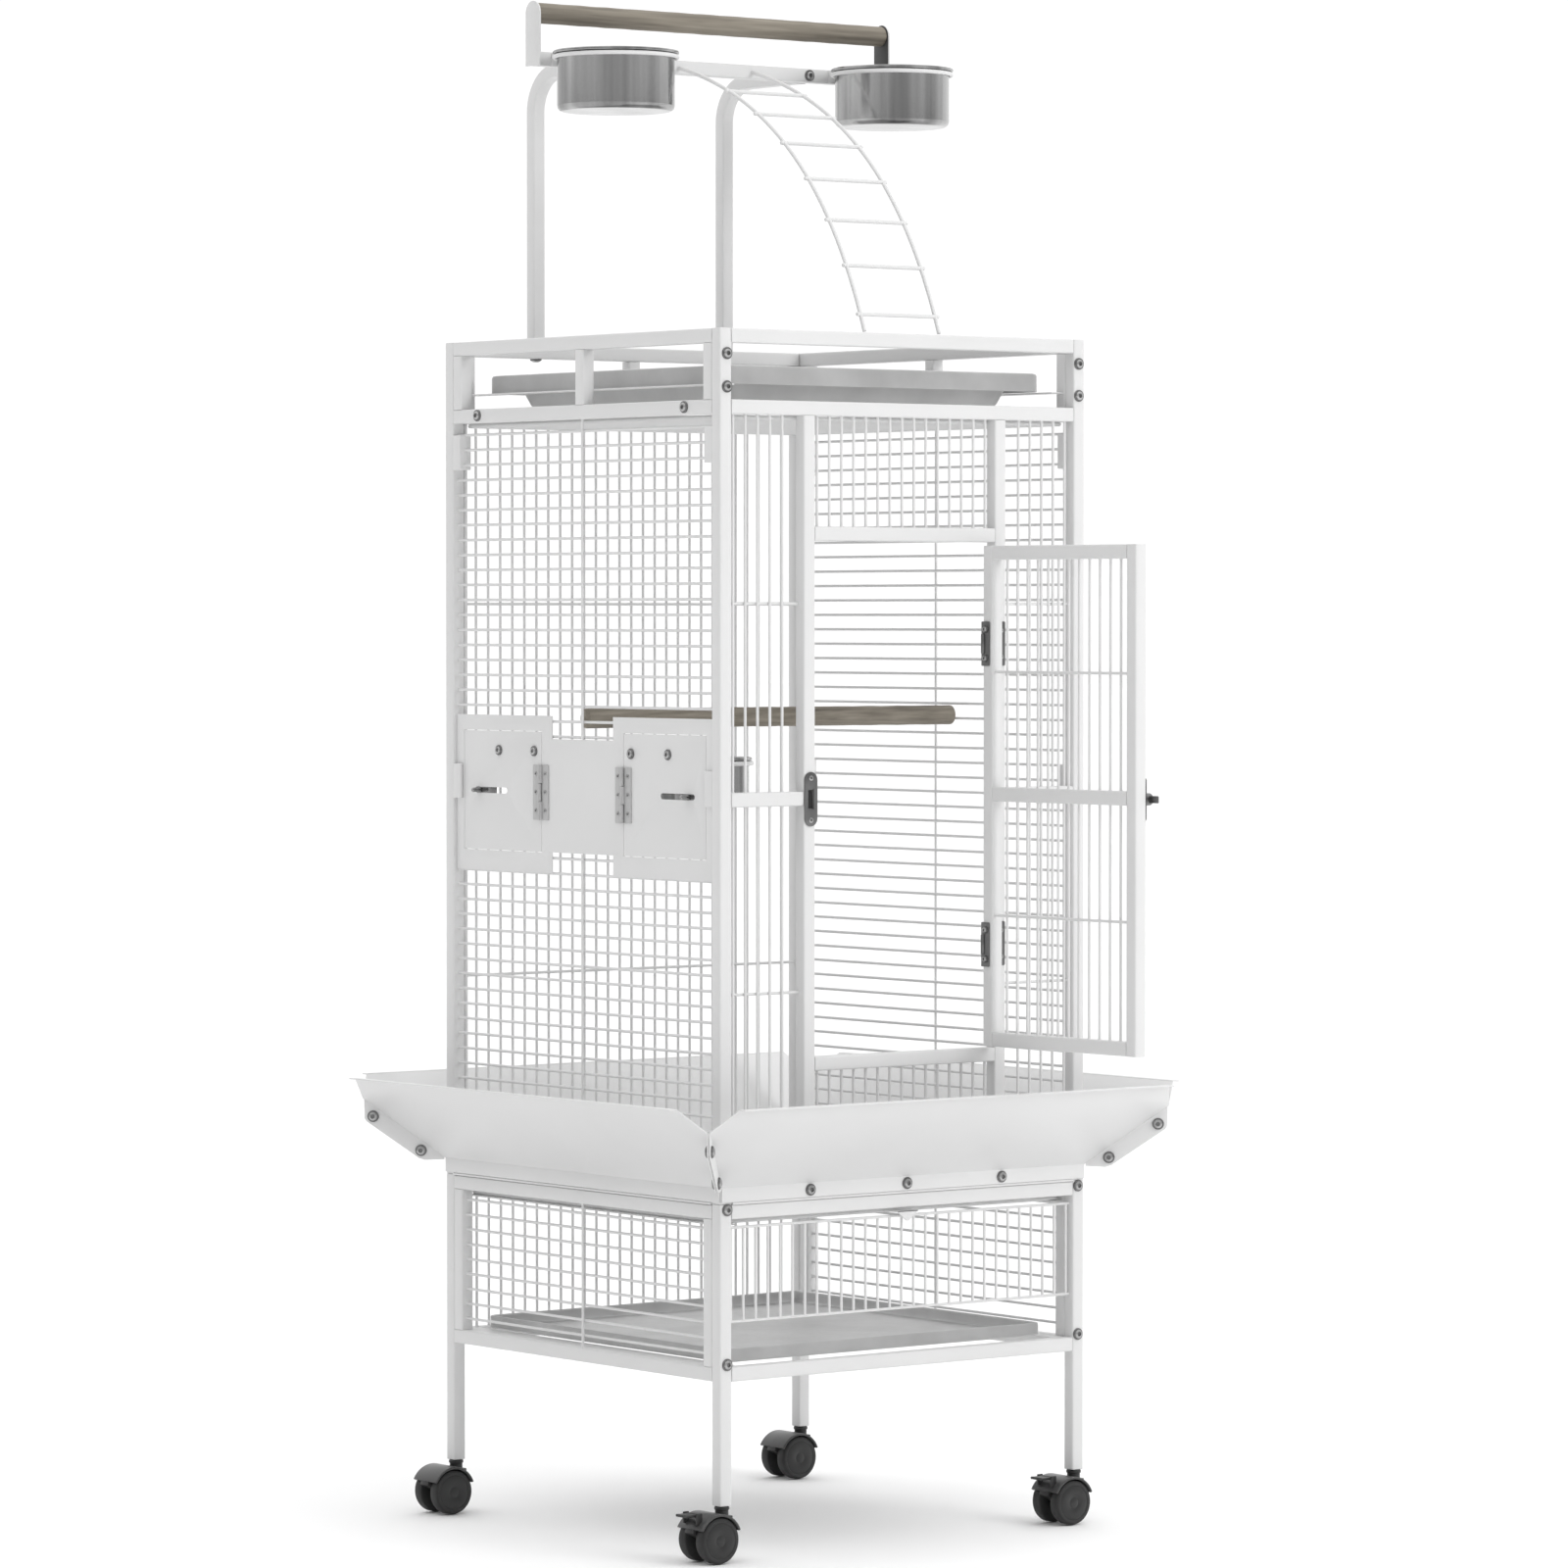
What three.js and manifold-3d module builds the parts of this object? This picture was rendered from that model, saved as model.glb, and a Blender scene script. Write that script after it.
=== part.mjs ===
// Bird cage on a wheeled stand, with a play top, a seed apron and slide-out trays.
// Millimetres, +Z up. The door faces -Y and the two feeder doors face -X.
// Everything is placed about the cage's vertical centre line, and the last lines of the file
// shift the whole object so that its footprint is centred on the origin.
import * as THREE from "three";
import { mergeVertices } from "three/addons/utils/BufferGeometryUtils.js";
import Module from "manifold-3d";

const wasm = await Module();
wasm.setup();

// ---- Driving dimensions -------------------------------------------------------------------

const cageHalf = 230; // outside faces of the corner posts
const tube = 14; // square steel tube of every frame
const wire = 2.5; // square section with the area of the round bar
const wirePitch = 15.15; // centre to centre of the bars
const gap = 0.3; // between pieces that touch
const sheet = 1.3; // thickness of the pressed steel pieces

const legBottom = 53.6;
const seamTop = 347.2; // underside of the cage's rails and of the apron's flanges
const seamBottom = 344.4; // top of the stand's rails
const postSplit = 345.2; // where the cage's posts stand on the stand's legs
const cageTop = 1189.4;
const boxFloor = 1121; // top face of the rails that the top tray slides over
const doorAngle = 92; // how far the door stands open, in degrees

const postInner = cageHalf - tube;
const postCentre = cageHalf - tube / 2;
const railReach = postInner - gap; // how far a bolted-in rail reaches between the posts
const panelBottom = seamTop + tube; // top of the cage's bottom rails
const panelTop = boxFloor - tube; // underside of the rails below the top tray

// ---- Solids -------------------------------------------------------------------------------

function solidOf(geometry) {
  geometry.deleteAttribute("normal");
  geometry.deleteAttribute("uv");
  const merged = mergeVertices(geometry, 1e-4);
  const vertProperties = new Float32Array(merged.getAttribute("position").array);
  const triVerts = new Uint32Array(merged.index.array);
  return new wasm.Manifold(new wasm.Mesh({ numProp: 3, vertProperties, triVerts }));
}

function geometryOf(solid) {
  const { numProp, vertProperties, triVerts } = solid.getMesh();
  const positions = new THREE.InterleavedBuffer(new Float32Array(vertProperties), numProp);
  const indexed = new THREE.BufferGeometry();
  indexed.setAttribute("position", new THREE.InterleavedBufferAttribute(positions, 3, 0));
  indexed.setIndex(new THREE.BufferAttribute(new Uint32Array(triVerts), 1));
  const geometry = indexed.toNonIndexed();
  geometry.computeVertexNormals();
  return geometry;
}

function join(solids) {
  return solids.flat(Infinity).reduce((whole, piece) => whole.add(piece));
}

// A box between any two opposite corners.
function block(from, to) {
  const low = new THREE.Vector3(...from);
  const high = new THREE.Vector3(...to);
  const bounds = new THREE.Box3().setFromPoints([low, high]);
  const size = bounds.getSize(new THREE.Vector3());
  const centre = bounds.getCenter(new THREE.Vector3());
  const geometry = new THREE.BoxGeometry(size.x, size.y, size.z);
  return solidOf(geometry.translate(centre.x, centre.y, centre.z));
}

// A round bar between two points.
function bar(from, to, diameter, sides = 6) {
  const start = new THREE.Vector3(...from);
  const end = new THREE.Vector3(...to);
  const along = end.clone().sub(start);
  const middle = start.clone().add(end).multiplyScalar(0.5);
  const turn = new THREE.Quaternion().setFromUnitVectors(
    new THREE.Vector3(0, 1, 0),
    along.clone().normalize(),
  );
  const geometry = new THREE.CylinderGeometry(diameter / 2, diameter / 2, along.length(), sides);
  return solidOf(geometry.applyQuaternion(turn).translate(middle.x, middle.y, middle.z));
}

// An outline pushed along the third axis of a frame that starts at origin.
function extrusion(shape, depth, right, up, origin, curveSegments = 6) {
  const geometry = new THREE.ExtrudeGeometry(shape, {
    depth,
    bevelEnabled: false,
    curveSegments,
  });
  const rightAxis = new THREE.Vector3(...right);
  const upAxis = new THREE.Vector3(...up);
  const outAxis = rightAxis.clone().cross(upAxis);
  const place = new THREE.Matrix4().makeBasis(rightAxis, upAxis, outAxis);
  place.setPosition(...origin);
  return solidOf(geometry.applyMatrix4(place));
}

function polygon(points) {
  return new THREE.Shape(points.map(([x, y]) => new THREE.Vector2(x, y)));
}

function roundedSquare(half, radius) {
  const shape = new THREE.Shape();
  const c = half - radius;
  shape.absarc(c, c, radius, 0, Math.PI / 2);
  shape.absarc(-c, c, radius, Math.PI / 2, Math.PI);
  shape.absarc(-c, -c, radius, Math.PI, Math.PI * 1.5);
  shape.absarc(c, -c, radius, Math.PI * 1.5, Math.PI * 2);
  return shape;
}

// A turned piece about a vertical axis through (x, y).
function turned(profile, x, y, sides = 16) {
  const points = profile.map(([r, z]) => new THREE.Vector2(r, z));
  const geometry = new THREE.LatheGeometry(points, sides);
  return solidOf(geometry.rotateX(Math.PI / 2).translate(x, y, 0));
}

// A horizontal ring of round wire.
function ring(x, y, z, radius, thickness, sides = 16) {
  const geometry = new THREE.TorusGeometry(radius, thickness / 2, 5, sides);
  return solidOf(geometry.translate(x, y, z));
}

// Evenly spaced positions from first to last, both kept.
function spaced(first, last, pitch = wirePitch) {
  const count = Math.round(Math.abs(last - first) / pitch);
  return Array.from({ length: count + 1 }, (_, k) => first + ((last - first) * k) / count);
}

// ---- Materials ----------------------------------------------------------------------------

const whitePaint = new THREE.MeshStandardMaterial({ color: 0xe8e8e8, roughness: 0.45 });
const greyPaint = new THREE.MeshStandardMaterial({ color: 0xababab, roughness: 0.5 });
const wood = new THREE.MeshStandardMaterial({ color: 0x877f72, roughness: 0.75 });
const steel = new THREE.MeshStandardMaterial({ color: 0xc4c4c4, roughness: 0.25, metalness: 1 });
const darkMetal = new THREE.MeshStandardMaterial({ color: 0x6e6e6e, roughness: 0.4, metalness: 0.8 });
const blackPlastic = new THREE.MeshStandardMaterial({ color: 0x26282b, roughness: 0.5 });

const cage = new THREE.Group();

function addMesh(name, solid, material, parent = cage) {
  const mesh = new THREE.Mesh(geometryOf(solid), material);
  mesh.name = name;
  parent.add(mesh);
  return mesh;
}

const sides = [
  ["left", -1],
  ["right", 1],
];

// ---- Cage sides: corner posts, rails, bars and the runners of the top tray -------------------

const feeder = {
  endBottom: 656, // the plate's tall ends
  endTop: 813,
  midBottom: 677, // its lower middle, and the height of the flap doors
  midTop: 797,
  midPlateTop: 790,
  midHalf: 51,
  doorInner: 69, // hinge line
  doorOuter: 202,
  faceNear: 224.8, // the plate's two faces, from the cage's centre
  faceFar: 226.1,
};

const sideRowTop = 1095.3;
const sideRows = spaced(sideRowTop, sideRowTop - 48 * wirePitch);
const windowEdge = 65; // upright bar beside each feeder window
const tabHeight = 35;
const trayRunnerTop = 1136.7;

function sideRow(sign, z, halfLength) {
  const x = sign * postCentre;
  return block(
    [x - wire / 2, -halfLength, z - wire / 2],
    [x + wire / 2, halfLength, z + wire / 2],
  );
}

function sideStiffener(sign, zLow, zHigh) {
  const inner = sign * (postCentre + wire / 2 + gap);
  return block([inner, -wire / 2, zLow], [inner + sign * wire, wire / 2, zHigh]);
}

function runner(sign, top) {
  return block([sign * 200, -214, top - sheet], [sign * (postInner + 1), 214, top]);
}

function cageSide(sign) {
  const hasFeeder = sign < 0;
  const x0 = sign * postInner;
  const x1 = sign * cageHalf;
  const upright = (y0, y1, z0, z1) => block([x0, y0, z0], [x1, y1, z1]);
  const parts = [
    upright(-cageHalf, -postInner, postSplit + gap, cageTop),
    upright(postInner, cageHalf, postSplit + gap, cageTop),
    upright(-postInner, postInner, cageTop - tube, cageTop),
    upright(-postInner, postInner, boxFloor - tube, boxFloor),
    upright(-postInner, postInner, seamTop, panelBottom),
    upright(-tube / 2, tube / 2, boxFloor, cageTop - tube),
    upright(-postInner, -postInner + tube, boxFloor, cageTop - tube),
    upright(postInner - tube, postInner, boxFloor, cageTop - tube),
    runner(sign, trayRunnerTop),
  ];
  const inWindow = (z) => hasFeeder && z > feeder.midBottom && z < feeder.midTop;
  for (const z of sideRows) {
    parts.push(sideRow(sign, z, inWindow(z) ? windowEdge : postInner));
  }
  const upperTab = sideRowTop - tabHeight;
  const lowerTab = 728;
  for (const end of [-1, 1]) {
    for (const z of [upperTab, lowerTab]) {
      const behindIsPlate = hasFeeder && z === lowerTab;
      const back = behindIsPlate ? sign * (feeder.faceFar + gap) : x0;
      const near = end * (postInner - 12);
      parts.push(block([back, near, z], [x1, end * (postInner + 1), z + tabHeight]));
    }
  }
  if (hasFeeder) {
    const below = Math.max(...sideRows.filter((z) => z < feeder.midBottom));
    const above = Math.min(...sideRows.filter((z) => z > feeder.midTop));
    for (const y of [-windowEdge, windowEdge]) {
      const x = sign * postCentre;
      const from = [x - wire / 2, y - wire / 2, below];
      parts.push(block(from, [x + wire / 2, y + wire / 2, above]));
    }
    parts.push(sideStiffener(sign, panelBottom - 1, feeder.midBottom - 2 * gap));
    parts.push(sideStiffener(sign, feeder.midPlateTop + 2 * gap, boxFloor - tube + 1));
  } else {
    parts.push(sideStiffener(sign, panelBottom - 1, boxFloor - tube + 1));
  }
  return join(parts);
}

for (const [side, sign] of sides) addMesh(`${side}_cage_side`, cageSide(sign), whitePaint);

// ---- Stand sides: legs, rails, bars and the runners of the grate and the bottom tray ----------

const standRailTop = 187.4; // top of the stand's lower rails
const grateRunnerTop = 324.5;
const standRowTop = 320.2;
const standRows = spaced(standRowTop, standRowTop - 8 * wirePitch);

function standSide(sign) {
  const x0 = sign * postInner;
  const x1 = sign * cageHalf;
  const upright = (y0, y1, z0, z1) => block([x0, y0, z0], [x1, y1, z1]);
  return join([
    upright(-cageHalf, -postInner, legBottom, postSplit),
    upright(postInner, cageHalf, legBottom, postSplit),
    upright(-postInner, postInner, seamBottom - tube, seamBottom),
    upright(-postInner, postInner, standRailTop - tube, standRailTop),
    upright(-postInner, -postInner + tube, standRailTop, seamBottom - tube),
    upright(postInner - tube, postInner, standRailTop, seamBottom - tube),
    standRows.map((z) => sideRow(sign, z, postInner - tube + 1)),
    sideStiffener(sign, standRailTop - 1, seamBottom - tube + 1),
    runner(sign, grateRunnerTop),
    runner(sign, standRailTop),
  ]);
}

for (const [side, sign] of sides) addMesh(`${side}_stand_side`, standSide(sign), whitePaint);

// ---- Front and back panels ------------------------------------------------------------------

const stiffenerRows = [924.5, 546.6];

// A tube or a bar that lies in the front (end -1) or back (end 1) plane.
function panelTube(end, x0, x1, z0, z1) {
  return block([x0, end * postInner, z0], [x1, end * cageHalf, z1]);
}

function panelBars(end, columns, z0, z1) {
  const y = end * postCentre;
  return columns.map((x) =>
    block([x - wire / 2, y - wire / 2, z0 - 1], [x + wire / 2, y + wire / 2, z1 + 1]),
  );
}

function panelStiffener(end, x0, x1, z) {
  const inner = end * (postCentre - wire / 2 - gap);
  return block([x0, inner, z - wire / 2], [x1, inner - end * wire, z + wire / 2]);
}

const doorway = {
  jambInner: 113.5,
  jambOuter: 127.5,
  sillTop: 483.5,
  lintelBottom: 985.5,
  midTop: 742,
};

function frontPanel() {
  const end = -1;
  const stripColumns = spaced(149.2, 209.5);
  const doorColumns = spaced(-7 * wirePitch, 7 * wirePitch);
  const parts = [
    panelTube(end, -railReach, railReach, boxFloor - tube, boxFloor),
    panelTube(end, -railReach, railReach, seamTop, panelBottom),
    panelTube(end, -doorway.jambInner, doorway.jambInner, doorway.sillTop - tube, doorway.sillTop),
    panelTube(
      end,
      -doorway.jambInner,
      doorway.jambInner,
      doorway.lintelBottom,
      doorway.lintelBottom + tube,
    ),
    panelBars(end, doorColumns, panelBottom, doorway.sillTop - tube),
    panelBars(end, doorColumns, doorway.lintelBottom + tube, panelTop),
  ];
  for (const [, sign] of sides) {
    const jamb = [sign * doorway.jambInner, sign * doorway.jambOuter];
    parts.push(panelTube(end, ...jamb, panelBottom, panelTop));
    parts.push(
      panelTube(end, jamb[1], sign * railReach, doorway.midTop - tube, doorway.midTop),
    );
    const columns = stripColumns.map((x) => sign * x);
    parts.push(panelBars(end, columns, panelBottom, doorway.midTop - tube));
    parts.push(panelBars(end, columns, doorway.midTop, panelTop));
    for (const z of stiffenerRows) {
      parts.push(panelStiffener(end, sign * (doorway.jambOuter - 1), sign * railReach, z));
    }
  }
  return join(parts);
}

function backPanel() {
  const end = 1;
  const columns = spaced(-13 * wirePitch, 13 * wirePitch);
  const stile = [postInner - tube, railReach];
  return join([
    panelTube(end, -railReach, railReach, boxFloor - tube, boxFloor),
    panelTube(end, -railReach, railReach, seamTop, panelBottom),
    panelTube(end, -tube / 2, tube / 2, boxFloor, cageTop - tube - gap),
    panelBars(end, columns, panelBottom, panelTop),
    sides.map(([, sign]) => [
      panelTube(end, sign * stile[0], sign * stile[1], boxFloor, cageTop - tube - gap),
      panelTube(end, sign * (railReach - 4), sign * railReach, panelBottom, panelTop),
    ]),
    stiffenerRows.map((z) => panelStiffener(end, -railReach + 1, railReach - 1, z)),
  ]);
}

addMesh("front_panel", frontPanel(), whitePaint);
addMesh("back_panel", backPanel(), whitePaint);
for (const [name, end] of [
  ["front_top_rail", -1],
  ["back_top_rail", 1],
]) {
  const rail = panelTube(end, -railReach, railReach, cageTop - tube, cageTop);
  addMesh(name, rail, whitePaint);
}

// ---- Stand front and back -------------------------------------------------------------------

const standFrontRail = 330.5; // underside of the front rail above the grate's slot
const guardTop = 322;
const guardBottom = 230.8;
const standCross = 260; // cross bar of the back panel

function standBackPanel() {
  const end = 1;
  const y = end * postCentre;
  const columns = spaced(-13 * wirePitch, 13 * wirePitch);
  return join([
    panelTube(end, -railReach, railReach, seamBottom - tube, seamBottom),
    panelTube(end, -railReach, railReach, standRailTop - tube, standRailTop),
    panelBars(end, columns, standRailTop, seamBottom - tube),
    block(
      [-railReach, y - wire / 2, standCross - wire / 2],
      [railReach, y + wire / 2, standCross + wire / 2],
    ),
  ]);
}

function standFrontGuard() {
  const end = -1;
  const y = end * postCentre;
  const columns = spaced(-14 * wirePitch, 14 * wirePitch);
  const cross = (z) =>
    block([-railReach, y - wire / 2, z - wire / 2], [railReach, y + wire / 2, z + wire / 2]);
  return join([
    cross(guardTop),
    cross(guardBottom),
    panelBars(end, columns, guardBottom + 1, guardTop - 1),
  ]);
}

addMesh("stand_back_panel", standBackPanel(), whitePaint);
addMesh("stand_front_guard", standFrontGuard(), whitePaint);
addMesh(
  "stand_front_rail",
  panelTube(-1, -railReach, railReach, standFrontRail, standFrontRail + tube),
  whitePaint,
);
addMesh(
  "stand_bottom_front_rail",
  panelTube(-1, -railReach, railReach, standRailTop - tube, standRailTop),
  whitePaint,
);

// ---- Roof grille and floor grate ------------------------------------------------------------

// A flat rectangular grille of bars that run front to back inside a frame of thicker bar.
function grille(half, z, frameBar) {
  const low = z - frameBar / 2;
  const high = z + frameBar / 2;
  const edge = half - frameBar;
  const columns = spaced(-13 * wirePitch, 13 * wirePitch);
  const parts = [];
  for (const sign of [-1, 1]) {
    parts.push(block([sign * edge, -half, low], [sign * half, half, high]));
    parts.push(block([-edge, sign * edge, low], [edge, sign * half, high]));
  }
  for (const x of columns) {
    parts.push(
      block([x - wire / 2, -edge - 1, z - wire / 2], [x + wire / 2, edge + 1, z + wire / 2]),
    );
  }
  return join(parts);
}

const grateHalf = 213;
const grateBar = 4;
const grateCentre = grateRunnerTop + gap + grateBar / 2;

function floorGrate() {
  const tongueTop = grateCentre + sheet / 2;
  const tabFront = -cageHalf - 3;
  const tab = polygon([
    [-14, tongueTop],
    [0, tongueTop - 11],
    [14, tongueTop],
  ]);
  return join([
    grille(grateHalf, grateCentre, grateBar),
    block([-14, tabFront, tongueTop - sheet], [14, -grateHalf + 1, tongueTop]),
    extrusion(tab, sheet, [1, 0, 0], [0, 0, 1], [0, tabFront + sheet, 0]),
  ]);
}

addMesh("roof_grille", grille(railReach, boxFloor - tube - gap - grateBar / 2, grateBar), whitePaint);
addMesh("floor_grate", floorGrate(), whitePaint);

// ---- Trays ----------------------------------------------------------------------------------

const trayHalf = 200;
const trayWall = 1.5;

// A square funnel section whose half width goes from low to high.
function taperedSquare(halfLow, zLow, halfHigh, zHigh) {
  const toCorner = Math.SQRT2;
  const geometry = new THREE.CylinderGeometry(
    halfHigh * toCorner,
    halfLow * toCorner,
    zHigh - zLow,
    4,
  );
  return solidOf(
    geometry
      .rotateX(Math.PI / 2)
      .rotateZ(Math.PI / 4)
      .translate(0, 0, (zHigh + zLow) / 2),
  );
}

// A level slab with rounded corners between two heights.
function squareSlab(half, radius, z0, z1) {
  const outline = roundedSquare(half, radius);
  return extrusion(outline, z1 - z0, [1, 0, 0], [0, 1, 0], [0, 0, z0]);
}

function topTray() {
  const rimTop = 1155.5;
  const rimBottom = 1137;
  const floor = 1122;
  const basinTop = 186;
  const basinBottom = 172;
  const rim = squareSlab(trayHalf, 14, rimBottom, rimTop);
  const underRim = squareSlab(trayHalf - trayWall, 12.5, rimBottom - 1, rimTop - trayWall);
  const outer = taperedSquare(basinBottom, floor, basinTop, rimTop);
  const inner = taperedSquare(
    basinBottom - trayWall,
    floor + trayWall,
    basinTop - trayWall,
    rimTop + 0.1,
  );
  return rim.subtract(underRim).add(outer).subtract(inner);
}

function bottomTray() {
  const floor = standRailTop + gap;
  const rimTop = 201;
  const pan = squareSlab(trayHalf, 8, floor, rimTop);
  return pan.subtract(squareSlab(trayHalf - trayWall, 6.5, floor + trayWall, rimTop + 1));
}

addMesh("top_tray", topTray(), greyPaint);
addMesh("bottom_tray", bottomTray(), greyPaint);

// ---- Seed apron: four bent sheets, each with a corner flange at both ends ---------------------

const apron = {
  foldZ: 362, // bend between the bolted flange and the slope
  reach: 83, // how far the slope stands out
  rise: 82,
  lip: 8.2, // width of the level lip along the outer edge
  topHalf: 270.7, // half length of the outer edge
  cornerReach: 60.3, // where the corner is cut off
};

function apronSheet() {
  const slopeLength = Math.hypot(apron.reach, apron.rise);
  const along = slopeLength / apron.reach; // slope length for each mm outwards
  const edge = gap; // half of the space between two neighbouring sheets
  const corner = cageHalf + apron.cornerReach - edge;
  const outline = polygon([
    [-cageHalf + edge, 0],
    [cageHalf - edge, 0],
    [corner, apron.cornerReach * along],
    [apron.topHalf, slopeLength],
    [-apron.topHalf, slopeLength],
    [-corner, apron.cornerReach * along],
  ]);
  const face = -cageHalf - gap;
  const up = [0, -apron.reach / slopeLength, apron.rise / slopeLength];
  const slope = extrusion(outline, sheet, [1, 0, 0], up, [0, face, apron.foldZ]);
  const flangeEnd = cageHalf - 1;
  const flange = block([-flangeEnd, face, seamTop], [flangeEnd, face - sheet, apron.foldZ]);
  const edgeY = face - apron.reach;
  const lipTop = apron.foldZ + apron.rise;
  const lip = block(
    [-apron.topHalf, edgeY + 1, lipTop - sheet],
    [apron.topHalf, edgeY - apron.lip, lipTop],
  );
  return join([slope, flange, lip, apronCorner(1), apronCorner(-1)]);
}

// The flange at one end, in the upright plane through the cage's corner.
function apronCorner(sign) {
  const diagonal = Math.SQRT1_2;
  const away = [sign * diagonal, -diagonal, 0];
  const riseRate = apron.rise / apron.reach / Math.SQRT2;
  const fold = (r) => [r, apron.foldZ - 0.6 + r * riseRate];
  const outline = polygon([
    [2, 359.5],
    [26, 358.5],
    [84, 399],
    fold(84.5),
    fold(2),
  ]);
  const inset = gap + (sign < 0 ? sheet : 0);
  const origin = [sign * (cageHalf - inset * diagonal), -cageHalf - inset * diagonal, 0];
  return extrusion(outline, sheet, away, [0, 0, 1], origin);
}

for (const [name, quarterTurns] of [
  ["front_apron", 0],
  ["right_apron", 1],
  ["back_apron", 2],
  ["left_apron", 3],
]) {
  const mesh = addMesh(name, apronSheet(), whitePaint);
  mesh.rotation.z = (quarterTurns * Math.PI) / 2;
}

// ---- Play top: arches, crossbar, perch and its brackets ---------------------------------------

const play = {
  archX: 121.5,
  barFront: 79,
  barBack: 93,
  barBottom: 1461,
  bendRadius: 40.5, // centre line of the arch's bend
  top: 1525.7,
  bracketOut: 224,
  bracketThick: 2,
  perchDiameter: 21,
};
const barMiddle = (play.barFront + play.barBack) / 2;
const bracketRadius = 12;
const perchCentre = play.top - bracketRadius;

function arch(x) {
  const start = play.barBack + gap;
  const high = play.barBottom + tube - 0.5;
  const outer = play.bendRadius + tube / 2;
  const inner = play.bendRadius - tube / 2;
  const cy = cageHalf - outer;
  const cz = high - outer;
  const shape = new THREE.Shape();
  shape.moveTo(cageHalf, cageTop + gap);
  shape.absarc(cy, cz, outer, 0, Math.PI / 2, false);
  shape.lineTo(start, high);
  shape.lineTo(start, high - tube);
  shape.absarc(cy, cz, inner, Math.PI / 2, 0, true);
  shape.lineTo(postInner, cageTop + gap);
  return extrusion(shape, tube, [0, 1, 0], [0, 0, 1], [x - tube / 2, 0, 0], 8);
}

function perchBracket(sign) {
  const shape = new THREE.Shape();
  shape.moveTo(barMiddle + bracketRadius, play.barBottom);
  shape.absarc(barMiddle, perchCentre, bracketRadius, 0, Math.PI, false);
  shape.lineTo(barMiddle - bracketRadius, play.barBottom);
  const x = sign > 0 ? play.bracketOut - play.bracketThick : -play.bracketOut;
  return extrusion(shape, play.bracketThick, [0, 1, 0], [0, 0, 1], [x, 0, 0], 8);
}

for (const [side, sign] of sides) {
  addMesh(`${side}_arch`, arch(sign * play.archX), whitePaint);
  addMesh(`${side}_perch_bracket`, perchBracket(sign), whitePaint);
}
const barReach = play.bracketOut - play.bracketThick - gap;
addMesh(
  "crossbar",
  block([-barReach, play.barFront, play.barBottom], [barReach, play.barBack, play.barBottom + tube]),
  whitePaint,
);
addMesh(
  "top_perch",
  bar([-barReach, barMiddle, perchCentre], [barReach, barMiddle, perchCentre], play.perchDiameter, 16),
  wood,
);
// The perch lies a little askew, held between the two sides.
const cagePerch = { diameter: 20, z: 811, reach: 219.8, leftY: 3.6, rightY: -31 };
addMesh(
  "cage_perch",
  bar(
    [-cagePerch.reach, cagePerch.leftY, cagePerch.z],
    [cagePerch.reach, cagePerch.rightY, cagePerch.z],
    cagePerch.diameter,
    16,
  ),
  wood,
);

// ---- Cups and their wire rings ----------------------------------------------------------------

// A thin cup: straight wall, rounded foot and an outward rim.
function cup(x, y, rimTop, bodyRadius, rimRadius, depth) {
  const wall = 1.2;
  const foot = 6;
  const z = (below) => rimTop - below;
  return turned(
    [
      [0, z(depth)],
      [bodyRadius - foot, z(depth)],
      [bodyRadius, z(depth - foot)],
      [bodyRadius, z(3.5)],
      [rimRadius, z(3.5)],
      [rimRadius, z(0)],
      [bodyRadius - wall, z(0)],
      [bodyRadius - wall, z(depth - foot)],
      [bodyRadius - foot - wall, z(depth - wall)],
      [0, z(depth - wall)],
    ],
    x,
    y,
  );
}

const topCup = { x: 176, y: 11, rimTop: 1473, body: 58.5, rim: 63, depth: 60 };
const holderWire = 4.4;

function topCupRing(x) {
  const z = topCup.rimTop - 3.5 - gap - holderWire / 2;
  const radius = topCup.body + 0.5 + holderWire / 2;
  const plateBack = play.barFront - gap;
  const plateFront = plateBack - sheet;
  const armSpread = 22;
  const armStart = topCup.y + Math.sqrt(radius ** 2 - armSpread ** 2) - 1;
  return join([
    ring(x, topCup.y, z, radius, holderWire),
    block([x - 30, plateFront, play.barBottom], [x + 30, plateBack, play.barBottom + tube]),
    [-armSpread, armSpread].map((dx) =>
      bar([x + dx, armStart, z], [x + dx, plateBack - 0.5, z], holderWire),
    ),
  ]);
}

for (const [side, sign] of sides) {
  const { x, y, rimTop, body, rim, depth } = topCup;
  addMesh(`${side}_cup_ring`, topCupRing(sign * x), whitePaint);
  addMesh(`${side}_cup`, cup(sign * x, y, rimTop, body, rim, depth), steel);
}

// ---- Ladder -----------------------------------------------------------------------------------

const ladder = {
  half: 47, // to the centre of each stringer
  thick: 4,
  overhang: 5,
  firstRung: 88, // along the stringer from its top end
  rungPitch: 53.5,
  rungs: 7,
  steps: 10,
};

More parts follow.
